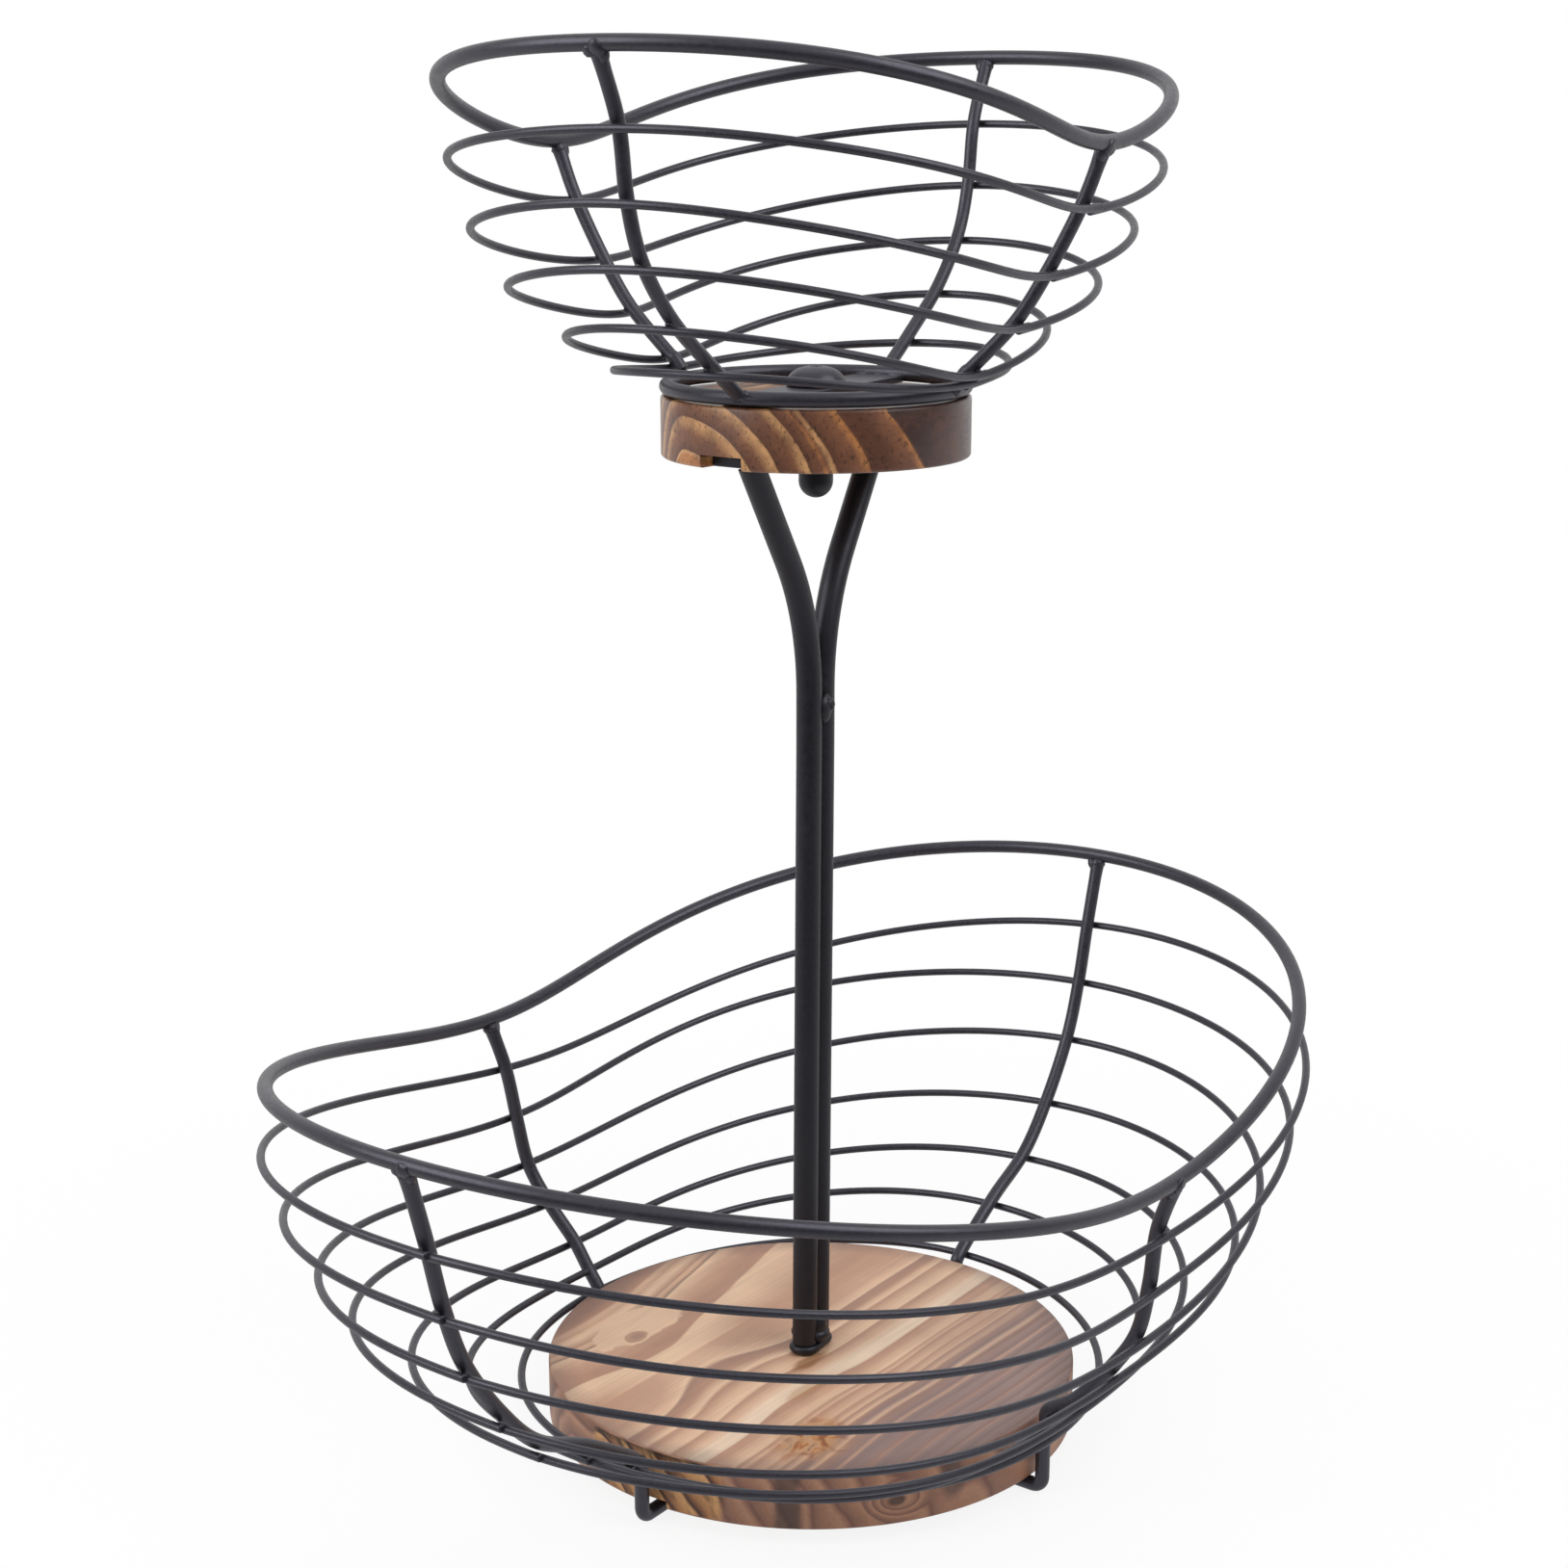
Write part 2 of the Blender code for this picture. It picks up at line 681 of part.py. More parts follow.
def upper_loops(coat):
    for number, loop in enumerate(UPPER_LOOP_SHARES[1:], 1):
        wire(f"upper_loop_{number}", loop_line(UPPER, loop), LOOP_WIRE, coat, closed=True)


def upper_rim(coat):
    wire("upper_rim", loop_line(UPPER, UPPER_LOOP_SHARES[0]), RIM_WIRE, coat, closed=True)


def upper_ribs(coat):
    for side, angle in UPPER_RIB_ANGLES.items():
        wire(f"upper_rib_{side}", upper_rib_line(angle), UPPER_RIB_WIRE, coat)


clear_scene()
PARTS = new_collection("wire_fruit_bowl")
CUTTERS = new_collection("cutters")
WIRE_COAT = powder_coat()
POST_COAT = post_coat()
SCREW_COAT = screw_coat()

lower_rim(WIRE_COAT)
lower_loops(WIRE_COAT)
lower_ribs(WIRE_COAT)
lower_disc(tray_wood())
lower_bar(POST_COAT)
lower_nut(SCREW_COAT)
post_stud(SCREW_COAT)
post_foot(POST_COAT)
post_rods(POST_COAT)
post_welds(POST_COAT)
upper_disc(block_wood())
upper_bar(POST_COAT)
upper_strap(WIRE_COAT)
upper_bolt(SCREW_COAT)
upper_cap_nut(SCREW_COAT)
upper_base_loop(WIRE_COAT)
upper_loops(WIRE_COAT)
upper_rim(WIRE_COAT)
upper_ribs(WIRE_COAT)
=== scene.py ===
"""Two-tier wire fruit basket: the looks of every piece, built in the frame of its solid. Metres, +Z up.

The origin is on the table under the post. X runs along the baskets, right is the far high end and left the
near one.
"""

from collections import namedtuple
from math import cos, pi, radians, sin, tau

import bmesh
import bpy
import numpy as np
from mathutils import Matrix, Vector, noise


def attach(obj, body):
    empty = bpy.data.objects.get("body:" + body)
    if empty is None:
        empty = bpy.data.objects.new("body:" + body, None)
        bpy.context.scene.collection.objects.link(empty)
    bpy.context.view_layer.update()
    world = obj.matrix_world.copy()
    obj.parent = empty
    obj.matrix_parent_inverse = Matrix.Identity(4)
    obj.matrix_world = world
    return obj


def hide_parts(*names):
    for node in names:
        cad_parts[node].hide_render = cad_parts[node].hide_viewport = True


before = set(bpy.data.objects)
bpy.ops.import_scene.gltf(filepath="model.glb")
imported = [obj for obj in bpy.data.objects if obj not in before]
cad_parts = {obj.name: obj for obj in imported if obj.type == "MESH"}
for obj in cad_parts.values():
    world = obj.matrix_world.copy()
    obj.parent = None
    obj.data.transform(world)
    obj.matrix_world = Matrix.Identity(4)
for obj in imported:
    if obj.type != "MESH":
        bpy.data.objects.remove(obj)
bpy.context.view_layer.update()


# Black powder coat, on every wire. Satin black with a trace of blue, baked on over bent steel wire, so it has
# a fine orange peel and follows each weld softly.


def linear(code):
    """An sRGB colour such as #AABBCC as the linear values that a shader takes."""
    channels = [int(code[i : i + 2], 16) / 255 for i in (1, 3, 5)]
    return (*[c / 12.92 if c <= 0.04045 else ((c + 0.055) / 1.055) ** 2.4 for c in channels], 1.0)


def add(material, kind, *values, at=(), stops=(), **settings):
    """A new node. Values go to its inputs in order, at holds more by name or number, stops fills a ramp."""
    node = material.node_tree.nodes.new("ShaderNode" + kind)
    for name, value in settings.items():
        setattr(node, name, value)
    for name, value in [*enumerate(values), *dict(at).items()]:
        if isinstance(value, bpy.types.NodeSocket):
            material.node_tree.links.new(value, node.inputs[name])
        else:
            node.inputs[name].default_value = value
    while len(stops) > len(node.color_ramp.elements if stops else ()):
        node.color_ramp.elements.new(1.0)
    for i, (position, colour) in enumerate(stops):
        node.color_ramp.elements[i].position = position
        node.color_ramp.elements[i].color = linear(colour)
    shown = [output for output in node.outputs if output.enabled]
    return shown[0] if len(shown) == 1 or kind in ("TexNoise", "ValToRGB", "TexCoord") else node


def maths(material, operation, *values):
    """A node that computes a number."""
    return add(material, "Math", *values, operation=operation)


def vectors(material, operation, *values, at=()):
    """A node that computes with vectors."""
    return add(material, "VectorMath", *values, at=at, operation=operation)


def blank(name):
    """A material with no nodes."""
    material = bpy.data.materials.new(name)
    material.use_nodes = True
    material.node_tree.nodes.clear()
    return material


def powder_coat(name, deep, pale, roughness, peel_mm, shine=0.75):
    """Satin black paint between two tones, with an orange peel of so many mm."""
    material = blank(name)
    place = add(material, "TexCoord").node.outputs["Object"]
    cloud = add(material, "TexNoise", place, at={"Scale": 45.0, "Detail": 4.0})
    peel = add(material, "TexNoise", place, at={"Scale": 1000 / peel_mm, "Detail": 2.0})
    speck = add(material, "TexNoise", place, at={"Scale": 3800.0, "Detail": 1.0})
    patches = maths(material, "MULTIPLY", cloud, peel)
    tone = add(material, "ValToRGB", patches, stops=((0.12, deep), (0.42, pale)))
    gloss = add(material, "MapRange", peel, 0.3, 0.7, roughness - 0.05, roughness + 0.07)
    height = maths(material, "MULTIPLY_ADD", speck, 0.35, peel)
    bump = add(material, "Bump", at={"Height": height, "Strength": 0.12, "Distance": 0.00010})
    finish = {"Base Color": tone, "Roughness": gloss, "Normal": bump}
    finish |= {"Specular Tint": linear("#F0EEFF"), "Specular IOR Level": shine}
    add(material, "OutputMaterial", add(material, "BsdfPrincipled", at=finish))
    return material


WIRE_COAT = powder_coat("satin_black_powder_coat", "#1E1D23", "#2A292F", 0.38, 1.1)


# Loop wires of both baskets. Each is one length of round wire bent into a dipping oval, and its two ends lap
# each other on a rib. The rims are thicker and butt-welded.

RIM_RADIUS = 0.0020
LOOP_RADIUS = 0.0011
RIB_RADIUS = {"lower": 0.0020, "upper": 0.0018}
TOUCH_GAP = 0.0003
UPPER_TURN = radians(6.2)
LEG_REACH = 0.0785
DISC_UNDERSIDE = 0.0040
DISC_TOP = 0.0207
BASE_LOOP_REACH = 0.0393
BASE_LOOP_HEIGHT = 0.2951

# One basket: where its wires start at the foot and end at the rim, as reach from the post and height
Basket = namedtuple("Basket", "name turn foot_reach foot_height long_reach short_reach high low")
LOWER = Basket("lower", 0.0, LEG_REACH + 0.0034, 0.01235, 0.1642, 0.1145, 0.1300, 0.0985)
UPPER = Basket("upper", UPPER_TURN, BASE_LOOP_REACH, BASE_LOOP_HEIGHT, 0.1035, 0.0803, 0.3800, 0.3575)

# One wire: its reach and height at the long ends and at the short sides, as shares of the way from foot to
# rim, how much further out and up it is halfway between them, and how far it has slid down on two corners
Loop = namedtuple("Loop", "long_reach short_reach high low bulge lift sag")
LOOPS = {
    "lower": (
        Loop(1.00, 1.00, 1.00, 1.00, 0.023, 0.012, 0.000),
        Loop(0.96, 0.93, 0.805, 0.81, 0.020, 0.000, 0.045),
        Loop(0.90, 0.87, 0.65, 0.63, 0.050, 0.008, 0.012),
        Loop(0.815, 0.78, 0.50, 0.455, 0.018, 0.000, 0.020),
        Loop(0.66, 0.56, 0.345, 0.316, 0.040, 0.000, 0.026),
        Loop(0.485, 0.28, 0.224, 0.19, 0.027, 0.000, 0.015),
        Loop(0.25, 0.02, 0.144, 0.122, 0.045, -0.006, 0.005),
        Loop(0.025, 0.00, 0.056, 0.060, 0.000, 0.000, 0.000),
    ),
    "upper": (
        Loop(1.00, 1.00, 1.00, 1.00, 0.060, 0.034, 0.000),
        Loop(0.91, 0.93, 0.78, 0.745, 0.088, 0.019, 0.005),
        Loop(0.86, 0.72, 0.58, 0.487, 0.075, 0.000, 0.020),
        Loop(0.76, 0.50, 0.40, 0.268, 0.070, 0.000, 0.010),
        Loop(0.55, 0.21, 0.228, 0.075, 0.035, 0.000, 0.030),
        Loop(0.27, 0.14, 0.083, 0.040, 0.035, 0.000, 0.025),
    ),
}
# Where each rib's foot stands round the post
RIB_ANGLES = {
    "lower": {"right": 0.0, "back": pi / 2 - radians(0.8), "left": pi, "front": 3 * pi / 2 - radians(2.0)},
    "upper": {"right": 0.0, "back": pi / 2, "left": pi, "front": 3 * pi / 2},
}
LOOP_STEPS = 216


def between(start, end, share):
    """The value or place at a share of the way."""
    return start + (end - start) * share


def loop_place(basket, loop, angle):
    """Reach and height of a loop at an angle from the basket's long side."""
    long_reach = between(basket.foot_reach, basket.long_reach, loop.long_reach)
    short_reach = between(basket.foot_reach, basket.short_reach, loop.short_reach)
    high = between(basket.foot_height, basket.high, loop.high)
    low = between(basket.foot_height, basket.low, loop.low)
    mean_reach = (long_reach + short_reach) / 2
    halfway = (1 - cos(4 * angle)) / 2
    slide = loop.sag * mean_reach * sin(2 * angle)
    reach = mean_reach * (1 + loop.bulge * halfway) - slide
    reach += (long_reach - short_reach) / 2 * cos(2 * angle)
    rise = (basket.high - basket.foot_height) * loop.lift * halfway
    return Vector((reach, (high + low) / 2 + rise + (high - low) / 2 * cos(2 * angle) - slide / 2))


def stand(place, angle):
    """The point in space at a reach and height, at an angle round the post."""
    return Vector((place[0] * cos(angle), place[0] * sin(angle), place[1]))


def swept(line, radii, across, closed=False, sides=16, chamfer=0.0002):
    """A round wire along a line, as (points, faces). Across is never parallel to it. Ends are cut square."""
    line = np.array([tuple(point) for point in line])
    radii = np.broadcast_to(radii, len(line)).astype(float)
    if closed:
        along = np.roll(line, -1, 0) - np.roll(line, 1, 0)
    else:
        along = np.gradient(line, axis=0)
    along /= np.linalg.norm(along, axis=1)[:, None]
    if not closed:
        first, last = line[0] + along[0] * chamfer, line[-1] - along[-1] * chamfer
        line = np.vstack([line[:1], first, line[1:-1], last, line[-1:]])
        along = np.vstack([along[:1], along, along[-1:]])
        ends = [radii[0] - chamfer], [radii[-1] - chamfer]
        radii = np.concatenate([ends[0], radii, ends[1]])
    side = np.cross(along, np.broadcast_to(across, line.shape))
    side /= np.linalg.norm(side, axis=1)[:, None]
    other = np.cross(along, side)
    turns = np.arange(sides) * tau / sides
    rings = line[:, None] + radii[:, None, None] * (
        np.cos(turns)[None, :, None] * side[:, None] + np.sin(turns)[None, :, None] * other[:, None]
    )
    count = len(line)
    faces = []
    for i in range(count if closed else count - 1):
        here, ahead = i * sides, (i + 1) % count * sides
        for j in range(sides):
            k = (j + 1) % sides
            faces.append((here + j, here + k, ahead + k, ahead + j))
    if not closed:
        faces += [tuple(range(sides - 1, -1, -1)), tuple(range((count - 1) * sides, count * sides))]
    return rings.reshape(-1, 3), faces


def lump(place, reach, along, across, seed, rough=0.10, sides=16):
    """A rounded, uneven weld: an ellipsoid with its three half sizes along, across and out from both."""
    along = Vector(along).normalized()
    out = along.cross(Vector(across)).normalized()
    across = out.cross(along)
    points, faces = [], []
    levels = sides // 2 + 1
    for i in range(levels):
        tilt = pi * i / (levels - 1)
        for j in range(sides):
            turn = tau * j / sides
            ball = Vector((cos(tilt), sin(tilt) * cos(turn), sin(tilt) * sin(turn)))
            ball *= 1 + rough * noise.noise(ball * 1.6 + Vector((seed * 3.7, 0, 0)))
            ball = Vector((ball.x * reach[0], ball.y * reach[1], ball.z * reach[2]))
            points.append(tuple(Vector(place) + along * ball.x + across * ball.y + out * ball.z))
    for i in range(levels - 1):
        for j in range(sides):
            k = (j + 1) % sides
            faces.append((i * sides + j, (i + 1) * sides + j, (i + 1) * sides + k, i * sides + k))
    return np.array(points), faces


# The post leans to the front right by this much at the fork, and most of the upper tier with it. It starts
# just above the disc and is full somewhat below the fork.
LEAN = Vector((0.00064, -0.00090, 0.0))
LEAN_START = 0.024
LEAN_RISE = 0.176


def leaning(point, share):
    """A point of the post or the upper tier, moved with its lean."""
    return tuple(Vector(point) + LEAN * share * min(1.0, max(0.0, (point[2] - LEAN_START) / LEAN_RISE)))


def placed(name, data):
    """A new object in the scene."""
    item = bpy.data.objects.new(name, data)
    bpy.context.scene.collection.objects.link(item)
    return item


def piece(name, parts, material, nodes, lean=None):
    """One visible piece from (points, faces) parts. It hides its solids and rides with the object."""
    points, faces = [], []
    if lean is None:
        lean = 1.0 if name.startswith(("post_", "upper_")) else 0.0
    for part_points, part_faces in parts:
        start = len(points)
        points += [leaning(point, lean) for point in part_points]
        faces += [tuple(start + i for i in face) for face in part_faces]
    mesh = bpy.data.meshes.new(name)
    mesh.from_pydata(points, [], faces)
    shape = bmesh.new()
    shape.from_mesh(mesh)
    bmesh.ops.remove_doubles(shape, verts=shape.verts, dist=1e-7)
    bmesh.ops.recalc_face_normals(shape, faces=shape.faces)
    shape.to_mesh(mesh)
    shape.free()
    mesh.shade_smooth()
    mesh.set_sharp_from_angle(angle=radians(42))
    mesh.materials.append(material)
    shown = placed(name, mesh)
    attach(shown, "root")
    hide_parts(*nodes)


def wavering(angle, seed, size):
    """The small unevenness of a hand-bent wire, the same at both ends of a full turn."""
    waves = sin(3 * angle + seed * 1.9) + 0.6 * sin(5 * angle + seed * 3.1) + 0.4 * sin(8 * angle + seed)
    return size * waves


def rim_line(basket):
    """The closed line of a rim."""
    loop = LOOPS[basket.name][0]
    angles = [tau * i / LOOP_STEPS for i in range(LOOP_STEPS)]
    return [stand(loop_place(basket, loop, angle), angle + basket.turn) for angle in angles]


# A loop's end laps over its start for the length, and eases out to that over the ease
LAP_LENGTH = 0.0032
LAP_EASE = 0.0150
LOWEST_LOOP = 7
HIDDEN_SAG = 0.0023


def hidden_sag(basket, number, angle):
    """The lowest loop of the lower basket hangs lower behind the disc, where the disc's edge hides it."""
    return HIDDEN_SAG * max(0.0, sin(angle - 0.12)) if basket is LOWER and number == LOWEST_LOOP else 0.0


def loop_line(basket, number, lap_angle):
    """A loop that starts just behind its own end. The end laps over it outside the rib at lap_angle."""
    loop = LOOPS[basket.name][number]
    lap = LAP_LENGTH / loop_place(basket, loop, lap_angle).x
    ease = LAP_EASE / loop_place(basket, loop, lap_angle).x
    line = []
    for i in range(LOOP_STEPS + 1):
        angle = lap_angle - lap / 2 + (tau + lap) * i / LOOP_STEPS
        place = loop_place(basket, loop, angle)
        left = lap_angle + tau + lap / 2 - angle
        nearness = max(0.0, 1 - left / ease) ** 2
        inward = max(0.0, 1 - (tau + lap - left) / ease) ** 2
        place.x += LOOP_RADIUS * (0.7 * nearness - 0.7 * inward)
        place.y += LOOP_RADIUS * (0.25 * nearness - 0.55 * inward)
        place.y += wavering(angle, number + basket.turn, 0.00013)
        place.y -= hidden_sag(basket, number, angle)
        line.append(stand(place, angle + basket.turn))
    return line


# How far each loop follows the post's lean
LOOP_LEAN = {"lower": {}, "upper": {1: 1.0, 2: 0.35, 3: 0.3, 4: 0.5, 5: 0.7}}
for basket in (LOWER, UPPER):
    rim = swept(rim_line(basket), RIM_RADIUS, (0, 0, 1), closed=True, sides=24)
    piece(f"{basket.name}_rim_wire", [rim], WIRE_COAT, [f"{basket.name}_rim"])
    lap_side = {"lower": "left", "upper": "front"}[basket.name]
    for number in range(1, len(LOOPS[basket.name])):
        line = loop_line(basket, number, RIB_ANGLES[basket.name][lap_side] + 0.012)
        wire = swept(line, LOOP_RADIUS, (0, 0, 1), sides=14)
        lean = LOOP_LEAN[basket.name].get(number, 0.0)
        nodes = [f"{basket.name}_loop_{number}"]
        piece(f"{basket.name}_loop_wire_{number}", [wire], WIRE_COAT, nodes, lean)


# Ribs of both baskets. Round wire run down inside the loops and spot-welded to each. The top ends are
# arc-welded under the rims with a fillet that creeps up the rim. The lower ribs bend at the table and hook in
# under the disc; the upper ones end on the base loop.

# Sides on which the welder stood outside the basket
FACING = {"right": False, "back": False, "left": True, "front": True}
HOOK_RADIUS = 0.00196
FOOT_BEND_RADIUS = 0.0029
HOOK_LENGTH = 0.0250
RIB_STEPS = 8
FOOT_TIP = Vector((LEG_REACH, 0.01235))
ELBOW_REACH = 0.0792
ELBOW_HEIGHT = 0.0168
# A rib swells by this share towards its weld under the rim, over this length
SWELLING = 0.14
SWELLING_LENGTH = 0.006


def smooth_line(points, steps):
    """A smooth line through the points."""
    ends = [2 * points[0] - points[1], *points, 2 * points[-1] - points[-2]]
    line = []
    for before, start, end, after in zip(ends, ends[1:], ends[2:], ends[3:]):
        for step in range(steps):
            t = step / steps
            leaving = (end - before) / 2
            arriving = (after - start) / 2
            line.append(
                start
                + leaving * t
                + (3 * (end - start) - 2 * leaving - arriving) * t**2
                + (2 * (start - end) + leaving + arriving) * t**3
            )
    line.append(points[-1])
    return line


def rib_places(basket, angle):
    """Where a rib passes inside each loop, its top under the rim, and the loops' own places beside them."""
    wire_radius = RIB_RADIUS[basket.name]
    outline = [loop_place(basket, loop, angle) for loop in LOOPS[basket.name]]
    foot = Vector((basket.foot_reach, basket.foot_height))
    if (outline[-1] - foot).length > 2 * wire_radius:
        outline.append(foot)
    else:
        outline.append(outline[-1] - Vector((0, 2 * wire_radius)))
    spacing = wire_radius + LOOP_RADIUS + TOUCH_GAP
    places = []
    for above, here, below in zip(outline, outline[1:], outline[2:]):
        along = (below - above).normalized()
        places.append(here - Vector((-along.y, along.x)) * spacing)
    down = (places[0] - outline[0]).normalized()
    return [outline[0] + down * (RIM_RADIUS + TOUCH_GAP), *places], outline[:-1]


def arc(centre, radius, start, end, steps):
    """Places on an arc between two turns."""
    turns = [between(start, end, step / steps) for step in range(steps + 1)]
    return [centre + radius * Vector((cos(turn), sin(turn))) for turn in turns]


# Lower ribs that slant round the post as they rise. At a share s of the height the turn past the foot's is
# the first value times s and the second times s squared.
SLANT_START = 0.030
ASLANT = {"front": (radians(8.8), radians(-7.2)), "back": (radians(3.8), 0.0)}


def rib(basket, side, angle, seed):
    """One rib with its welds, as parts."""
    swing, settle = ASLANT.get(side, (0.0, 0.0)) if basket is LOWER else (0.0, 0.0)
    lean_angle = swing + settle
    places, crossings = rib_places(basket, angle + lean_angle)
    wire_radius = RIB_RADIUS[basket.name]
    around_foot = angle + basket.turn
    sideways = Vector((-sin(around_foot), cos(around_foot), 0))

    def turned_by(place):
        """The angle round the post at a place on the rib."""
        share = min(1.0, max(0.0, (place[1] - SLANT_START) / (basket.low - SLANT_START)))
        return around_foot + swing * share + settle * share**2

    if basket is LOWER:
        # Over the lowest loop the rib bends down close to it. The back one runs straight to the disc's edge.
        lowest = crossings[-1] - Vector((0, hidden_sag(LOWER, LOWEST_LOOP, angle)))
        places[-1] = lowest + Vector((-0.0021, 0.0018))
        elbow = Vector((min(ELBOW_REACH, lowest.x - 0.0031), ELBOW_HEIGHT))
        if side == "back":
            places[-2:] = [places[-3] + (elbow - places[-3]) * 0.55]
        line = smooth_line([*places, elbow, FOOT_TIP], RIB_STEPS)
        upright = len(line)
        centre = Vector((LEG_REACH - FOOT_BEND_RADIUS, HOOK_RADIUS + FOOT_BEND_RADIUS))
        line += arc(centre, FOOT_BEND_RADIUS, 0, -pi / 2, 10)
        line.append(Vector((LEG_REACH - HOOK_LENGTH, HOOK_RADIUS)))
        radii = np.full(len(line), wire_radius)
        radii[upright:] = HOOK_RADIUS
    else:
        base = Vector((BASE_LOOP_REACH, BASE_LOOP_HEIGHT))
        end = base + (places[-1] - base).normalized() * (RIM_RADIUS + 0.0006)
        line = smooth_line([*places, end], RIB_STEPS)
        radii = np.full(len(line), wire_radius)
    top = places[0]
    down = (places[1] - top).normalized()
    line = [top - down * 0.0008, *line]
    radii = np.concatenate([[wire_radius], radii])
    for i, place in enumerate(line):
        below_top = (place - top).length
        if below_top < SWELLING_LENGTH:
            radii[i] *= 1 + SWELLING * (1 - below_top / SWELLING_LENGTH) ** 2
    parts = [swept([stand(place, turned_by(place)) for place in line], radii, sideways, sides=20)]
    around = around_foot + lean_angle
    sideways = Vector((-sin(around), cos(around), 0))
    fall = stand(down, around)
    collar_size = (0.0019, 1.28 * wire_radius, 1.16 * wire_radius)
    parts.append(lump(stand(top + down * 0.0002, around), collar_size, fall, sideways, seed, 0.16))
    tip = sideways * (1 if seed % 2 else -1)
    out = Vector((-down.y, down.x)) * (1 if FACING[side] else -1)
    if FACING[side]:
        creep = stand(top + out * 0.0016 - down * 0.0019, around) + tip * 0.0009
        parts.append(lump(creep, (0.0023, 0.0020, 0.0011), fall + tip * 0.3, sideways, seed + 5, 0.24))
        second = stand(top + out * 0.0012 - down * 0.0010, around) - tip * 0.0013
        parts.append(lump(second, (0.0018, 0.0018, 0.0011), fall, sideways, seed + 7, 0.24))
    fillet = stand(top + down * 0.0005 + out * 0.0004, around) + tip * wire_radius * 0.8
    parts.append(lump(fillet, (0.0024, 0.0015, 0.0015), fall + tip * -0.35, sideways, seed + 9, 0.16))

    # The spot welds show on the upper basket alone
    for i, (place, crossing) in enumerate(zip(places[1:], crossings[1:]) if basket is UPPER else ()):
        contact = between(place, crossing, wire_radius / (wire_radius + LOOP_RADIUS + TOUCH_GAP))
        weld = stand(contact, turned_by(place))
        along = stand((crossing - place).normalized(), turned_by(place))
        parts.append(lump(weld, (0.0005, 0.0011, 0.0007), along, sideways, seed + i, 0.12, 12))
    return parts


for seed, (side, angle) in enumerate(RIB_ANGLES["lower"].items()):
    parts = rib(LOWER, side, angle, seed + 1)
    piece(f"lower_rib_wire_{side}", parts, WIRE_COAT, [f"lower_rib_{side}"])

for seed, (side, angle) in enumerate(RIB_ANGLES["upper"].items()):
    parts = rib(UPPER, side, angle, seed + 11)
    around = angle + UPPER_TURN
    sideways = Vector((-sin(around), cos(around), 0))
    base = stand((BASE_LOOP_REACH + 0.0012, BASE_LOOP_HEIGHT + 0.0006), around)
    parts.append(lump(base, (0.0021, 0.0024, 0.0017), stand((1, 0.4), around), sideways, seed + 2, 0.24))
    beside = base + sideways * 0.0016
    parts.append(lump(beside, (0.0014, 0.0017, 0.0014), sideways, (0, 0, 1), seed + 3, 0.24))
    piece(f"upper_rib_wire_{side}", parts, WIRE_COAT, [f"upper_rib_{side}"])


# Lower disc. Pine board, flat-sawn with its heart close to the top behind the post, so the top shows a
# cathedral figure there and straight stripes at the front. It was lightly torched, which browned the soft
# wood between the hard lines, then brushed and left matte. The sides are torched darker.


def turned(profile, sides=192):
    """(points, faces) of a profile of (reach, height) spun round the post's axis, from axis to axis."""
    points = [stand(profile[0], 0)]
    for place in profile[1:-1]:
        points += [stand(place, tau * i / sides) for i in range(sides)]
    points.append(stand(profile[-1], 0))
    faces = [(0, 1 + (i + 1) % sides, 1 + i) for i in range(sides)]
    for ring in range(len(profile) - 3):
        here, below = 1 + ring * sides, 1 + (ring + 1) * sides
        for i in range(sides):
            faces.append((here + i, here + (i + 1) % sides, below + (i + 1) % sides, below + i))
    last = len(points) - 1
    start = last - sides
    faces += [(last, start + i, start + (i + 1) % sides) for i in range(sides)]
    return np.array([tuple(point) for point in points]), faces


def slab(length, width, bottom, top, turn, rounding=0.0004):
    """(points, faces) of a flat bar with rounded edges, across the post's axis."""
    shape = bmesh.new()
    bmesh.ops.create_cube(shape, size=1)
    size = Matrix.Diagonal((length, width, top - bottom, 1))
    place = Matrix.Rotation(turn, 4, "Z") @ Matrix.Translation((0, 0, (bottom + top) / 2)) @ size
    bmesh.ops.transform(shape, matrix=place, verts=shape.verts)
    bmesh.ops.bevel(shape, geom=shape.edges[:], offset=rounding, segments=3, affect="EDGES", profile=0.6)
    points = np.array([tuple(vertex.co) for vertex in shape.verts])
    shape.verts.index_update()
    faces = [tuple(vertex.index for vertex in face.verts) for face in shape.faces]
    shape.free()
    return points, faces


def grooved_disc(name, radius, bottom, top, edge, groove_width, groove_depth, turn):
    """(points, faces) of a board with rounded edges and a groove across its underside."""
    upper_edge = arc(Vector((radius - edge, top - edge)), edge, pi / 2, 0, 4)
    lower_edge = arc(Vector((radius - edge, bottom + edge)), edge, 0, -pi / 2, 4)
    board = turned([(0, top), *upper_edge, *lower_edge, (0, bottom)])
    groove = slab(2.2 * radius, groove_width, bottom - 0.004, bottom + groove_depth, turn, 0.0002)
    items = []
    for points, faces in (board, groove):
        mesh = bpy.data.meshes.new(name)
        mesh.from_pydata(points.tolist(), [], faces)
        shape = bmesh.new()
        shape.from_mesh(mesh)
        bmesh.ops.recalc_face_normals(shape, faces=shape.faces)
        shape.to_mesh(mesh)
        shape.free()
        items.append(placed(name, mesh))
    change = items[0].modifiers.new("groove", "BOOLEAN")
    change.operation = "DIFFERENCE"
    change.solver = "EXACT"
    change.object = items[1]
    bpy.context.view_layer.update()
    cut = items[0].evaluated_get(bpy.context.evaluated_depsgraph_get()).to_mesh()
    points = np.array([tuple(vertex.co) for vertex in cut.vertices])
    faces = [tuple(face.vertices) for face in cut.polygons]
    for item in items:
        bpy.data.objects.remove(item)
    return points, faces


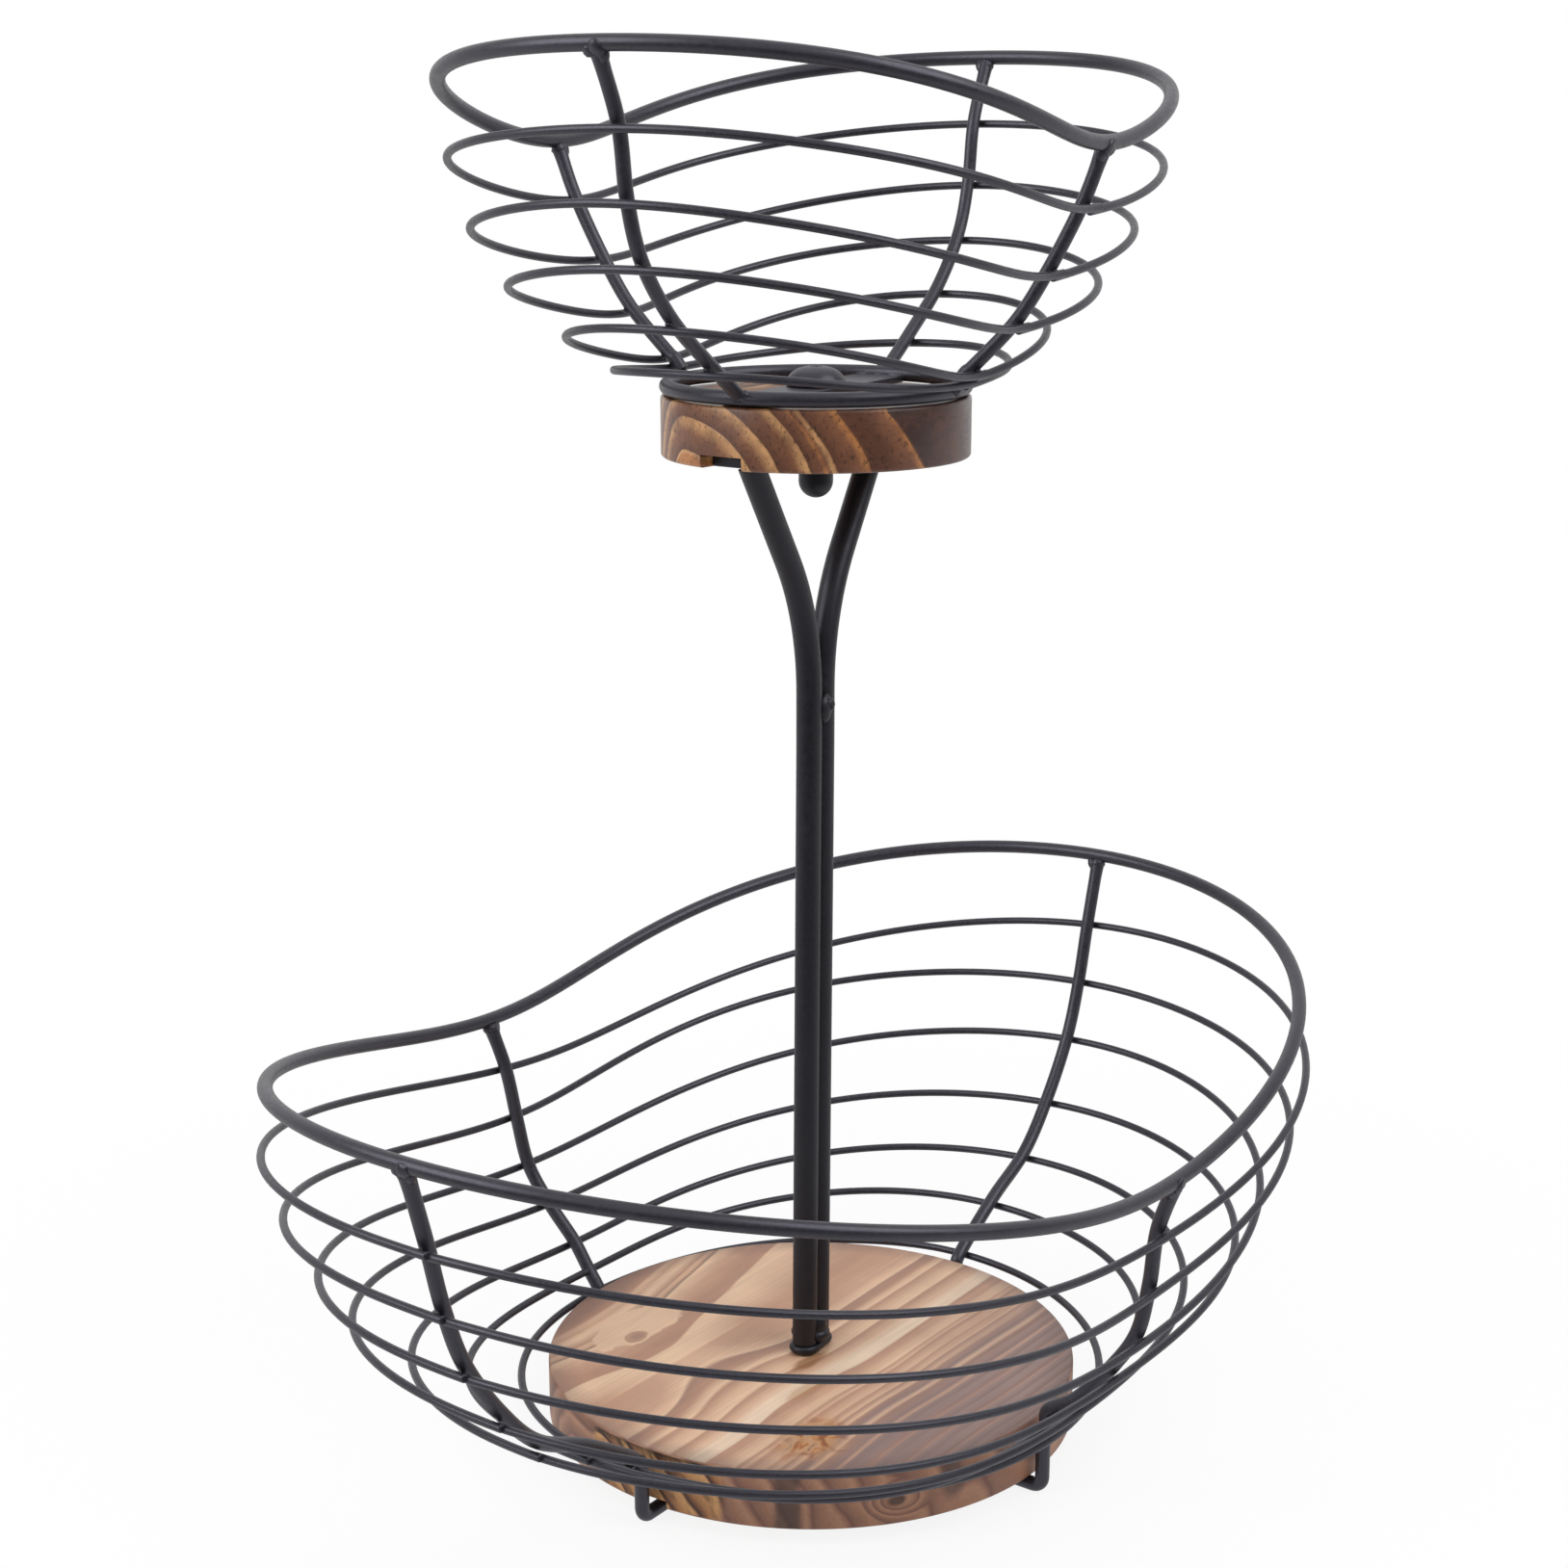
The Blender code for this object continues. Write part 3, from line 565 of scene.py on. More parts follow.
def board_space(material, turn, waver):
    """Places in a board in mm, along, across and up, true and with the grain wavering by so many mm."""
    place = add(material, "TexCoord").node.outputs["Object"]
    along = add(material, "VectorRotate", place, at={"Angle": -turn}, rotation_type="Z_AXIS")
    board = vectors(material, "MULTIPLY", along, (1000, 1000, 1000))
    stretched = vectors(material, "MULTIPLY", board, (0.010, 0.045, 0.045))
    drift = add(material, "TexNoise", stretched, at={"Scale": 1.0, "Detail": 3.0}).node.outputs["Color"]
    centred = vectors(material, "SUBTRACT", drift, (0.5, 0.5, 0.5))
    size = (0, waver, waver * 0.7)
    return board, vectors(material, "MULTIPLY_ADD", centred, size, board)


def banded(material, reach, longest, bands):
    """The tone of every ring, by its distance in mm from the heart."""
    share = maths(material, "MULTIPLY", reach, 1 / longest)
    return add(material, "ValToRGB", share, stops=[(mm / longest, tone) for mm, tone in bands])


def blend(material, amount, under, over):
    """Two colours mixed. Either is a node's output or a hex code."""
    under, over = [linear(colour) if isinstance(colour, str) else colour for colour in (under, over)]
    return add(material, "Mix", at={0: amount, 6: under, 7: over}, data_type="RGBA")


def stain(material, board, uneven, place, size, strength, inner=0.55, outer=1.15):
    """How strongly a soft-edged patch shows."""
    apart = vectors(material, "SUBTRACT", board, place)
    apart = vectors(material, "MULTIPLY", apart, tuple(1 / mm for mm in size))
    off = vectors(material, "LENGTH", apart)
    ragged = maths(material, "MULTIPLY_ADD", uneven, 1.0, off)
    limits = (inner + 0.5, outer + 0.5, strength, 0.0)
    return add(material, "MapRange", ragged, *limits, interpolation_type="SMOOTHSTEP")


def wood_surface(material, board, moved, colour, relief, relief_mm, roughness, coat):
    """Fibres, their streaks and pores, the relief of the brushed rings and the varnish."""
    fibre_place = vectors(material, "MULTIPLY", moved, (0.012, 1.1, 1.1))
    fibre = add(material, "TexNoise", fibre_place, at={"Scale": 1.0, "Detail": 4.0, "Roughness": 0.6})
    patch = add(material, "TexNoise", board, at={"Scale": 0.045, "Detail": 4.0})
    fibre_tone = add(material, "MapRange", fibre, 0.28, 0.72, 0.88, 1.10)
    patch_tone = add(material, "MapRange", patch, 0.3, 0.7, 0.93, 1.07)
    both = maths(material, "MULTIPLY", fibre_tone, patch_tone)
    colour = vectors(material, "SCALE", colour, at={"Scale": both})
    height = maths(material, "MULTIPLY_ADD", fibre, 0.6, relief)
    bump = add(material, "Bump", at={"Height": height, "Strength": 0.5, "Distance": relief_mm / 1000})
    gloss = add(material, "MapRange", fibre, 0.3, 0.7, roughness - 0.05, roughness + 0.06)
    finish = {"Base Color": colour, "Roughness": gloss, "Normal": bump}
    finish |= {"Coat Weight": coat, "Coat Roughness": 0.13}
    add(material, "OutputMaterial", add(material, "BsdfPrincipled", at=finish))


def tray_pine():
    """Flat-sawn pine, lightly torched and matte, with its figure as the distance from the heart in mm."""
    material = blank("torched_pine_matte")
    board, moved = board_space(material, 0.0, 4.5)
    axes = add(material, "SeparateXYZ", moved)
    patch = add(material, "TexNoise", board, at={"Scale": 0.11, "Detail": 4.0})

    # Top: parallel stripes on both sides of the heart, which dips at one place and closes the rings there
    aside = maths(material, "ADD", axes.outputs["Y"], -HEART_ACROSS)
    ahead = maths(material, "MAXIMUM", axes.outputs["X"], 0.0)
    spread = maths(material, "MULTIPLY_ADD", ahead, -0.2, 3.0)
    behind_heart = add(material, "MapRange", aside, 0.0, 14.0, 0.0, 1.0)
    aside = maths(material, "MULTIPLY_ADD", spread, behind_heart, aside)
    from_dip = maths(material, "ADD", axes.outputs["X"], -DIP_ALONG)
    from_dip = maths(material, "ABSOLUTE", from_dip)
    limits = (0.0, DIP_HALF_LENGTH, DIP_SQUARED, 0.0)
    dip = add(material, "MapRange", from_dip, *limits, interpolation_type="SMOOTHERSTEP")
    reach = maths(material, "MULTIPLY_ADD", aside, aside, dip)
    reach = maths(material, "SQRT", reach)
    front = banded(material, reach, 100, FRONT_BANDS)
    outer = maths(material, "MULTIPLY_ADD", reach, 1 / 6.4, -74.0 / 6.4)
    outer_ring = maths(material, "FRACT", outer)
    outer_ring = add(material, "MapRange", outer_ring, 0.55, 0.92, 0.0, 0.62)
    outside = add(material, "MapRange", outer, 0.0, 0.05, 0.0, 1.0)
    lined = maths(material, "MULTIPLY", outer_ring, outside)
    front = blend(material, lined, front, "#A97A62")
    fine_ring = maths(material, "MULTIPLY", reach, 1 / 3.3)
    fine_ring = maths(material, "FRACT", fine_ring)
    fine_ring = add(material, "MapRange", fine_ring, 0.45, 0.85, 0.0, 1.3)
    back = banded(material, reach, 100, BACK_BANDS)
    behind = add(material, "MapRange", aside, -0.6, 0.6, 0.0, 1.0)
    top = blend(material, behind, front, back)
    for tone, *spot in KNOT_STAINS:
        top = blend(material, stain(material, board, patch, *spot), top, tone)
    burl_edge = add(material, "MapRange", axes.outputs["Y"], -23.4, -21.6, 1.0, 0.0)
    burl = stain(material, board, patch, (-46.0, -33.0, 20.7), (15.0, 11.5, 30), 0.95, 0.35, 1.1)
    burl = maths(material, "MULTIPLY", burl, burl_edge)
    swirl_place = vectors(material, "MULTIPLY", board, (0.12, 0.12, 0.05))
    swirl = add(material, "TexNoise", swirl_place, at={"Scale": 1.0, "Detail": 3.0, "Distortion": 1.6})
    burl_tone = add(material, "ValToRGB", swirl, stops=BURL_TONES)
    top = blend(material, burl, top, burl_tone)
    for tone, *spot in RESIN_STAINS:
        top = blend(material, stain(material, board, patch, *spot), top, tone)
    slant = maths(material, "MULTIPLY_ADD", axes.outputs["X"], -0.35, axes.outputs["Y"])
    charred = add(material, "MapRange", slant, -26.0, -76.0, 0.0, 0.42)
    top = blend(material, charred, top, "#9E8983")
    charred_lines = maths(material, "MULTIPLY", charred, fine_ring)
    top = blend(material, charred_lines, top, "#725249")
    # The top darkens towards a mauve brown over its last few mm before the rim.
    out = vectors(material, "MULTIPLY", board, (1, 1, 0))
    out = vectors(material, "LENGTH", out)
    ragged = maths(material, "MULTIPLY_ADD", patch, 7.0, out)
    edge = add(material, "MapRange", ragged, 70.0, 79.0, 0.0, 0.5)
    top = blend(material, edge, top, "#5E4B48")

    # Sides: the same rings cut across at the ends, rough and golden, and along at the front and back, smooth
    rise = maths(material, "ADD", axes.outputs["Z"], 12.0)
    reach = vectors(material, "LENGTH", add(material, "CombineXYZ", aside, rise))
    drift = add(material, "TexNoise", board, at={"Scale": 0.035, "Detail": 2.0})
    reach = maths(material, "MULTIPLY_ADD", drift, 16.0, reach)
    rings = maths(material, "MULTIPLY", reach, 1 / 6.6)
    apart = vectors(material, "SUBTRACT", board, SIDE_KNOT)
    apart = vectors(material, "MULTIPLY", apart, (0.6, 0.6, 1.0))
    off = vectors(material, "LENGTH", apart)
    knot = add(material, "MapRange", off, 1.0, 6.5, 1.0, 0.0, interpolation_type="SMOOTHSTEP")
    rings = maths(material, "MULTIPLY_ADD", knot, 2.2, rings)
    share = maths(material, "FRACT", rings)
    across_grain = add(material, "ValToRGB", share, stops=END_TONES)
    torn_across = maths(material, "MULTIPLY", reach, 0.75)
    torn_up = maths(material, "MULTIPLY", rise, 0.16)
    torn_place = add(material, "CombineXYZ", torn_across, torn_up, axes.outputs["X"])
    torn = add(material, "TexNoise", torn_place, at={"Scale": 1.0, "Detail": 4.0, "Roughness": 0.62})
    grooves = add(material, "MapRange", torn, 0.50, 0.66, 0.0, 0.6)
    across_grain = blend(material, grooves, across_grain, "#3E291D")
    height = maths(material, "MULTIPLY_ADD", torn, 9.0, axes.outputs["Z"])
    charred_edge = add(material, "MapRange", height, 22.3, 24.2, 0.0, 0.8)
    across_grain = blend(material, charred_edge, across_grain, "#33221B")
    along_grain = add(material, "ValToRGB", share, stops=SIDE_TONES)
    facing = add(material, "SeparateXYZ", add(material, "NewGeometry").outputs["Normal"])
    endwise = maths(material, "ABSOLUTE", facing.outputs["X"])
    endwise = add(material, "MapRange", endwise, 0.952, 0.962, 0.0, 1.0)
    side = blend(material, endwise, along_grain, across_grain)
    for tone, *spot in SIDE_STAINS:
        side = blend(material, stain(material, board, patch, *spot), side, tone)
    level = maths(material, "ABSOLUTE", facing.outputs["Z"])
    upright = add(material, "MapRange", level, 0.55, 0.85, 1.0, 0.0)
    colour = blend(material, upright, top, side)
    bright = add(material, "RGBToBW", colour)
    relief = add(material, "MapRange", bright, 0.15, 0.5, 0.0, 1.2)
    wood_surface(material, board, moved, colour, relief, 0.16, 0.50, 0.0)
    return material


# Tones of the top from the palest ring to the most charred, and of the two kinds of side within one ring
WHITE, PALE, LIGHT, TAN = "#E0C5AB", "#DDB999", "#D2AB8D", "#C1967B"
BROWN, DARK, MAUVE = "#AE826A", "#9B7562", "#896E68"
END_TONES = (
    (0.0, "#2C1A13"), (0.10, "#6E452C"), (0.32, "#A87348"), (0.7, "#C6935E"), (0.87, "#CE9C68"),
    (0.95, "#7A4C30"), (1.0, "#2C1A13"),
)
SIDE_TONES = (
    (0.0, "#8A6250"), (0.3, "#9E7058"), (0.6, "#B08267"), (0.78, "#916653"), (0.87, "#785245"),
    (1.0, "#8A6250"),
)
BURL_TONES = ((0.34, "#7F4522"), (0.42, "#A3632F"), (0.50, "#BC8A5C"), (0.58, "#B9906F"), (0.68, "#946646"))
# Stains: tone, middle and half sizes in mm, strength and, for some, where the soft edge starts and ends
KNOT_STAINS = (
    (PALE, (-18.0, 49.8, 20.7), (19.0, 8.0, 30), 0.9, 0.93, 1.06),
    (BROWN, (-24.2, 45.2, 20.7), (4.4, 3.1, 30), 0.9, 0.75, 1.0),
    (MAUVE, (-23.6, 44.9, 20.7), (2.6, 1.9, 30), 0.45, 0.4, 1.1),
)
RESIN_STAINS = (
    ("#8A5B34", (-9.0, -5.2, 20.7), (9.0, 2.6, 30), 0.75),
    ("#A87A45", (-23.0, -14.5, 20.7), (10.0, 2.6, 30), 0.4),
)
SIDE_KNOT = (-46.0, -59.5, 11.0)
SIDE_STAINS = (
    ("#4A3A38", (-32.0, -68.0, 14.0), (4.5, 6.0, 7.0), 0.7),
    ("#3B2A26", SIDE_KNOT, (2.6, 2.6, 1.6), 0.85),
    ("#40302C", (-65.0, -37.5, 10.0), (3.6, 4.4, 30.0), 0.75),
)


# Rings of the top: distance in mm from the heart and tone there, on the front of the board and on its back.
# The soft wood of a ring starts dark and pales up to the hard line that ends it.
# The heart lies so far across from the post. It dips below the top at one place along the board, by the root
# of the squared depth, and comes up again over the half length.
HEART_ACROSS = 25.0
DIP_ALONG = -28.0
DIP_HALF_LENGTH = 36.0
DIP_SQUARED = 210.0
FRONT_BANDS = (
    (0.0, "#B3886E"), (12.5, TAN), (15.8, LIGHT), (16.7, PALE), (17.4, DARK), (20.5, BROWN), (23.5, PALE),
    (24.5, BROWN), (28.5, LIGHT), (31.3, PALE), (32.0, BROWN), (36.0, LIGHT), (38.5, WHITE), (42.0, WHITE),
    (42.6, BROWN), (45.5, TAN), (49.5, PALE), (50.1, BROWN), (51.7, LIGHT), (52.3, BROWN), (56.2, LIGHT),
    (56.8, BROWN), (59.6, LIGHT), (60.2, DARK), (62.4, LIGHT), (63.2, DARK), (65.5, MAUVE), (67.1, LIGHT),
    (67.9, DARK), (72.0, MAUVE), (73.3, TAN), (74.1, MAUVE),
)
BACK_BANDS = (
    (0.0, "#B3886E"), (9.0, LIGHT), (14.0, PALE), (16.8, PALE), (17.6, BROWN), (21.5, BROWN), (27.0, TAN),
    (30.0, LIGHT), (31.7, PALE), (32.3, "#7E6250"), (33.0, TAN), (34.3, LIGHT), (35.0, BROWN), (38.0, PALE),
    (39.8, LIGHT), (40.5, TAN), (42.8, LIGHT), (43.6, BROWN), (47.0, DARK), (50.0, DARK),
)
TRAY_PINE = tray_pine()
BOARD_EDGE = 0.0009
board = grooved_disc("lower_board", 0.0750, DISC_UNDERSIDE, DISC_TOP, BOARD_EDGE, 0.0106, 0.0025, 0.0)
piece("lower_board", [board], TRAY_PINE, ["lower_disc"])


# Lower bar, nut and stud. Black steel, out of sight under the disc: the bar lies in the groove, and the nut
# pulls it and the disc up against the post's foot.

SCREW_COAT = powder_coat("black_screw_coat", "#1F1E24", "#2B2A32", 0.38, 0.7)
piece("lower_flat_bar", [slab(0.116, 0.010, 0.0042, 0.0062, 0.0)], WIRE_COAT, ["lower_bar"])


def hexagon_nut(width, bottom, top):
    """(points, faces) of a nut with its corners turned off."""
    reach = width / 2 / cos(pi / 6)
    corner = (reach - width / 2) * 0.7
    lower = [(0, bottom), (reach - corner, bottom), (reach, bottom + corner / 2)]
    upper = [(reach, top - corner / 2), (reach - corner, top), (0, top)]
    return turned([*lower, *upper], 6)


piece("lower_hexagon_nut", [hexagon_nut(0.010, 0.0011, 0.0039)], SCREW_COAT, ["lower_nut"])


def threaded(radius, pitch, bottom, top, sides=24, steps=6):
    """(points, faces) of a rod with a thread cut round it."""
    count = int((top - bottom) / pitch * steps)
    points, faces = [], []
    for i in range(count + 1):
        for j in range(sides):
            depth = abs((i / steps - j / sides) % 1 * 2 - 1)
            place = (radius - 0.0006 * depth, bottom + (top - bottom) * i / count)
            points.append(stand(place, tau * j / sides))
    for i in range(count):
        for j in range(sides):
            k = (j + 1) % sides
            faces.append((i * sides + j, i * sides + k, (i + 1) * sides + k, (i + 1) * sides + j))
    faces += [tuple(range(sides - 1, -1, -1)), tuple(range(count * sides, (count + 1) * sides))]
    return points, faces


stud = threaded(0.003, 0.001, 0.0006, DISC_TOP)
piece("post_threaded_stud", [stud], SCREW_COAT, ["post_stud"])


# Post. Two round rods side by side that part into a fork, on an oval foot. Arc welds fill the valley between
# them at the foot and just under the fork, front and back. Deep black powder coat.

ROD_RADIUS = 0.0035
ROD_OFFSET = 0.0036
FOOT_TOP = 0.0235
BAR_UNDERSIDE = 0.2769
FORK_HEIGHT = 0.2130
FORK_ANGLE = radians(35.0)
FORK_BEND_RADIUS = 0.065
POST_COAT = powder_coat("satin_black_powder_coat_post", "#0F0F12", "#19191C", 0.43, 1.4, 0.5)


def post_rod(turn):
    """One rod: up beside the other, then out along an arm of the fork, cut level under the bar."""
    centre = Vector((ROD_OFFSET + FORK_BEND_RADIUS, FORK_HEIGHT))
    bend = arc(centre, FORK_BEND_RADIUS, pi, pi - FORK_ANGLE, 24)
    rise = [Vector((ROD_OFFSET, between(FOOT_TOP + TOUCH_GAP, FORK_HEIGHT, i / 24))) for i in range(24)]
    slope = Vector((sin(FORK_ANGLE), cos(FORK_ANGLE)))
    cut = BAR_UNDERSIDE - TOUCH_GAP
    end = bend[-1] + slope * ((cut - bend[-1].y) / slope.y)
    line = [*rise, *bend, *[between(bend[-1], end, share) for share in (0.25, 0.5, 0.75, 1.0)]]
    around = UPPER_TURN + turn
    sideways = (-sin(around), cos(around), 0)
    line = [stand(place, around) for place in line]
    points, faces = swept(line, ROD_RADIUS, sideways, sides=32, chamfer=0.0)
    way = np.array(stand(slope, around))
    last = slice(len(points) - 64, len(points))
    points[last] += way * ((cut - points[last, 2:3]) / way[2])
    return points, faces


def rounded_oval(offset, half_width, rounding, bottom, top, steps=20):
    """(points, faces) of an oval plate round both rods, with a full edge."""
    turn = Matrix.Rotation(UPPER_TURN, 4, "Z")
    middle, half = (bottom + top) / 2, (top - bottom) / 2
    points, faces = [], []
    tilts = (-1.57, -1.2, -0.8, -0.4, 0, 0.4, 0.8, 1.2, 1.57)
    edge = [(half * (cos(tilt) - 1) * rounding, half * sin(tilt)) for tilt in tilts]
    rings = [(-half_width, -half), *edge, (-half_width, half)]
    for inset, up in rings:
        for direction in (1, -1):
            for i in range(steps + 1):
                angle = -pi / 2 * direction + pi * i / steps
                reach = max(half_width + inset, 0.0001)
                across = direction * offset + reach * cos(angle)
                points.append(tuple(turn @ Vector((across, reach * sin(angle), middle + up))))
    count = 2 * (steps + 1)
    for ring in range(len(rings) - 1):
        for i in range(count):
            j = (i + 1) % count
            here, above = ring * count, (ring + 1) * count
            faces.append((here + i, here + j, above + j, above + i))
    faces += [tuple(range(count - 1, -1, -1)), tuple(range((len(rings) - 1) * count, len(rings) * count))]
    return np.array(points), faces


foot = rounded_oval(ROD_OFFSET, 0.0044, 0.95, 0.0210, FOOT_TOP)
piece("post_oval_foot", [foot], POST_COAT, ["post_foot"])
for side, turn in (("right", 0.0), ("left", pi)):
    piece(f"post_round_rod_{side}", [post_rod(turn)], POST_COAT, [f"post_rod_{side}"])
for side, turn in (("front", -pi / 2), ("back", pi / 2)):
    around = UPPER_TURN + turn
    sideways = Vector((-sin(around), cos(around), 0))
    up = Vector((0, 0, 1))
    at_foot = stand((0.0027, 0.0272), around)
    toe = at_foot - up * 0.0018 + stand((0.0006, 0), around)
    parts = [
        lump(at_foot + up * 0.0006, (0.0042, 0.0029, 0.0022), up, sideways, 21 + turn, 0.16),
        lump(toe, (0.0021, 0.0036, 0.0024), up, sideways, 23 + turn, 0.20),
    ]
    piece(f"post_foot_weld_{side}", parts, POST_COAT, [f"post_weld_foot_{side}"])
    at_fork = stand((0.0027, 0.2085), around)
    bead = at_fork + sideways * 0.0009 + up * 0.0008
    parts = [
        lump(at_fork, (0.0040, 0.0028, 0.0020), up, sideways, 31 + turn, 0.14),
        lump(bead, (0.0024, 0.0022, 0.0024), up, sideways, 33 + turn, 0.18),
    ]
    piece(f"post_fork_weld_{side}", parts, POST_COAT, [f"post_weld_fork_{side}"])


# Upper bar. Flat steel welded across the fork's ends and let into the disc's groove, black like the post. It
# is turned the other way from the basket above it.

BAR_TURN = radians(-2.0)
bar = slab(0.072, 0.0126, BAR_UNDERSIDE, 0.2799, BAR_TURN, 0.0005)
piece("upper_flat_bar", [bar], POST_COAT, ["upper_bar"])


# Upper disc. A thick pine block cut so that its heart runs below the lower edge: the ends show round rings.
# Torched dark brown beside pale hard lines and given a gloss varnish.

# Few tones for the whole block, from the torched wood to the pale lines, and the rings' distances from the
# heart in mm
BLOCK_HEART_ACROSS = 17.1
BLOCK_HEART_HEIGHT = 268.8
RING_FLATNESS = 1.13
SOOT, CHAR, UMBER, AMBER, HONEY = "#3C2520", "#5E3825", "#86563A", "#B47642", "#C69462"
BLOCK_BANDS = (
    (0.0, UMBER), (12.7, AMBER), (13.1, HONEY), (13.7, HONEY), (14.0, CHAR), (19.0, UMBER), (22.0, HONEY),
    (23.0, HONEY), (23.3, CHAR), (26.5, UMBER), (29.2, HONEY), (30.0, HONEY), (30.3, CHAR), (34.8, UMBER),
    (36.8, HONEY), (37.5, HONEY), (37.8, CHAR), (40.3, UMBER), (40.9, AMBER), (41.6, UMBER), (42.3, HONEY),
    (42.9, HONEY), (43.2, CHAR), (47.8, UMBER), (48.9, AMBER), (49.5, AMBER), (49.8, CHAR), (53.5, CHAR),
    (56.6, UMBER), (57.5, AMBER), (57.8, SOOT), (64.0, SOOT),
)


def block_pine():
    """Pine torched dark brown under gloss varnish. Its rings are wider on the side away from the bark."""
    material = blank("torched_pine_gloss")
    board, moved = board_space(material, UPPER_TURN, 2.2)
    axes = add(material, "SeparateXYZ", moved)
    aside = maths(material, "ADD", axes.outputs["Y"], -BLOCK_HEART_ACROSS)
    bark_side = maths(material, "MAXIMUM", aside, 0.0)
    aside = maths(material, "MULTIPLY_ADD", bark_side, 1.2, aside)
    below = -BLOCK_HEART_HEIGHT * RING_FLATNESS
    rise = maths(material, "MULTIPLY_ADD", axes.outputs["Z"], RING_FLATNESS, below)
    reach = vectors(material, "LENGTH", add(material, "CombineXYZ", aside, rise))
    tone = banded(material, reach, 64, BLOCK_BANDS)
    uneven = add(material, "TexNoise", board, at={"Scale": 0.16, "Detail": 5.0, "Roughness": 0.62})
    smoke = add(material, "MapRange", uneven, 0.40, 0.62, 0.0, 0.55)
    colour = blend(material, smoke, tone, "#5A3425")
    pore_place = vectors(material, "MULTIPLY", moved, (0.10, 1.3, 0.75))
    pores = add(material, "TexNoise", pore_place, at={"Scale": 1.0, "Detail": 2.0})
    ticks = add(material, "MapRange", pores, 0.58, 0.66, 0.0, 0.55)
    colour = blend(material, ticks, colour, "#2B170F")
    bright = add(material, "RGBToBW", tone)
    relief = add(material, "MapRange", bright, 0.04, 0.40, 0.0, 1.0)
    wood_surface(material, board, moved, colour, relief, 0.14, 0.38, 0.22)
    return material


BLOCK_PINE = block_pine()
block = grooved_disc("upper_block", 0.0410, 0.2768, 0.2928, BOARD_EDGE, 0.0132, 0.0034, BAR_TURN)
piece("upper_block", [block], BLOCK_PINE, ["upper_disc"])


# Strap, bolt and cap nut. The strap spans the base loop on top of the block; its ends are welded to the loop.
# The bolt has a low dome with a small socket. The cap nut has a long smooth body and a round end.

strap = slab(0.0736, 0.0145, 0.2931, 0.2949, UPPER_TURN, 0.0004)
parts = [strap]
for number, direction in enumerate((1, -1)):
    out = stand((direction * 0.0366, 0.2944), UPPER_TURN)
    across = Vector((-sin(UPPER_TURN), cos(UPPER_TURN), 0))
    for i, shift in enumerate((-0.0048, 0.0, 0.0048)):
        weld_seed = 41 + 3 * number + i
        parts.append(lump(out + across * shift, (0.0028, 0.0012, 0.0008), across, (0, 0, 1), weld_seed, 0.2))
piece("upper_flat_strap", parts, WIRE_COAT, ["upper_strap"])

HEAD_RADIUS, HEAD_BOTTOM, HEAD_HEIGHT = 0.008, 0.2952, 0.0049
DOME_SHARES = (
    (0.45, 0.94), (0.6, 0.865), (0.72, 0.76), (0.82, 0.63), (0.90, 0.47), (0.955, 0.30), (0.985, 0.15),
    (1.0, 0.05),
)
dome = [(0, 0.2987), (0.0012, 0.2987), (0.00175, 0.30005), (0.0024, 0.30008)]
for across, up in DOME_SHARES:
    dome.append((HEAD_RADIUS * across, HEAD_BOTTOM + HEAD_HEIGHT * up))
dome += [(0.0079, HEAD_BOTTOM), (0.0025, HEAD_BOTTOM), (0.0025, 0.2696), (0, 0.2696)]
piece("upper_dome_bolt", [turned(dome, 48)], SCREW_COAT, ["upper_bolt"])

cap_bottom, cap_top, cap_radius = 0.2654, 0.2766, 0.0046
cap = [(0, cap_top), (cap_radius - 0.0003, cap_top), (cap_radius, cap_top - 0.0003)]
cap += arc(Vector((0, cap_bottom + cap_radius)), cap_radius, 0, -pi / 2, 12)
cap[-1] = (0, cap_bottom)
piece("upper_round_cap_nut", [turned(cap, 48)], POST_COAT, ["upper_cap_nut"])


# Base loop. A round ring that lies on the block's edge and carries the upper ribs. Its wire and coat are the
# same as the rims'.

ring = [stand((BASE_LOOP_REACH, BASE_LOOP_HEIGHT), tau * i / 180) for i in range(180)]
ring = swept(ring, RIM_RADIUS, (0, 0, 1), closed=True, sides=24)
piece("upper_base_ring", [ring], WIRE_COAT, ["upper_base_loop"])


# Floor and light. A plain white table and backdrop, a strong soft box on either side, weak ones above and in
# front, and a surround that is brighter behind the object than on the camera's side.

floor_mesh = bpy.data.meshes.new("floor")
floor_mesh.from_pydata([(-4, -4, 0), (4, -4, 0), (4, 4, 0), (-4, 4, 0)], [], [(0, 1, 2, 3)])
floor = placed("floor", floor_mesh)
matte = blank("white_table")
HEADING = radians(54.668)
flat = add(matte, "TexCoord").node.outputs["Object"]
spot = vectors(matte, "LENGTH", flat)
grain = add(matte, "TexNoise", flat, at={"Scale": 400.0})
paper = add(matte, "ValToRGB", grain, stops=((0.3, "#F1F1F1"), (0.7, "#F5F5F5")))
table = add(matte, "BsdfPrincipled", at={"Base Color": paper, "Roughness": 0.9})
far = add(matte, "MapRange", spot, 0.12, 0.45, 0.88, 1.0, interpolation_type="SMOOTHSTEP")
paths = add(matte, "LightPath")
glossy, through = paths.outputs["Is Glossy Ray"], paths.outputs["Is Transmission Ray"]
mirrored = maths(matte, "MAXIMUM", glossy, through)
direct = maths(matte, "MAXIMUM", paths.outputs["Is Camera Ray"], mirrored)
seen = maths(matte, "MULTIPLY", far, direct)
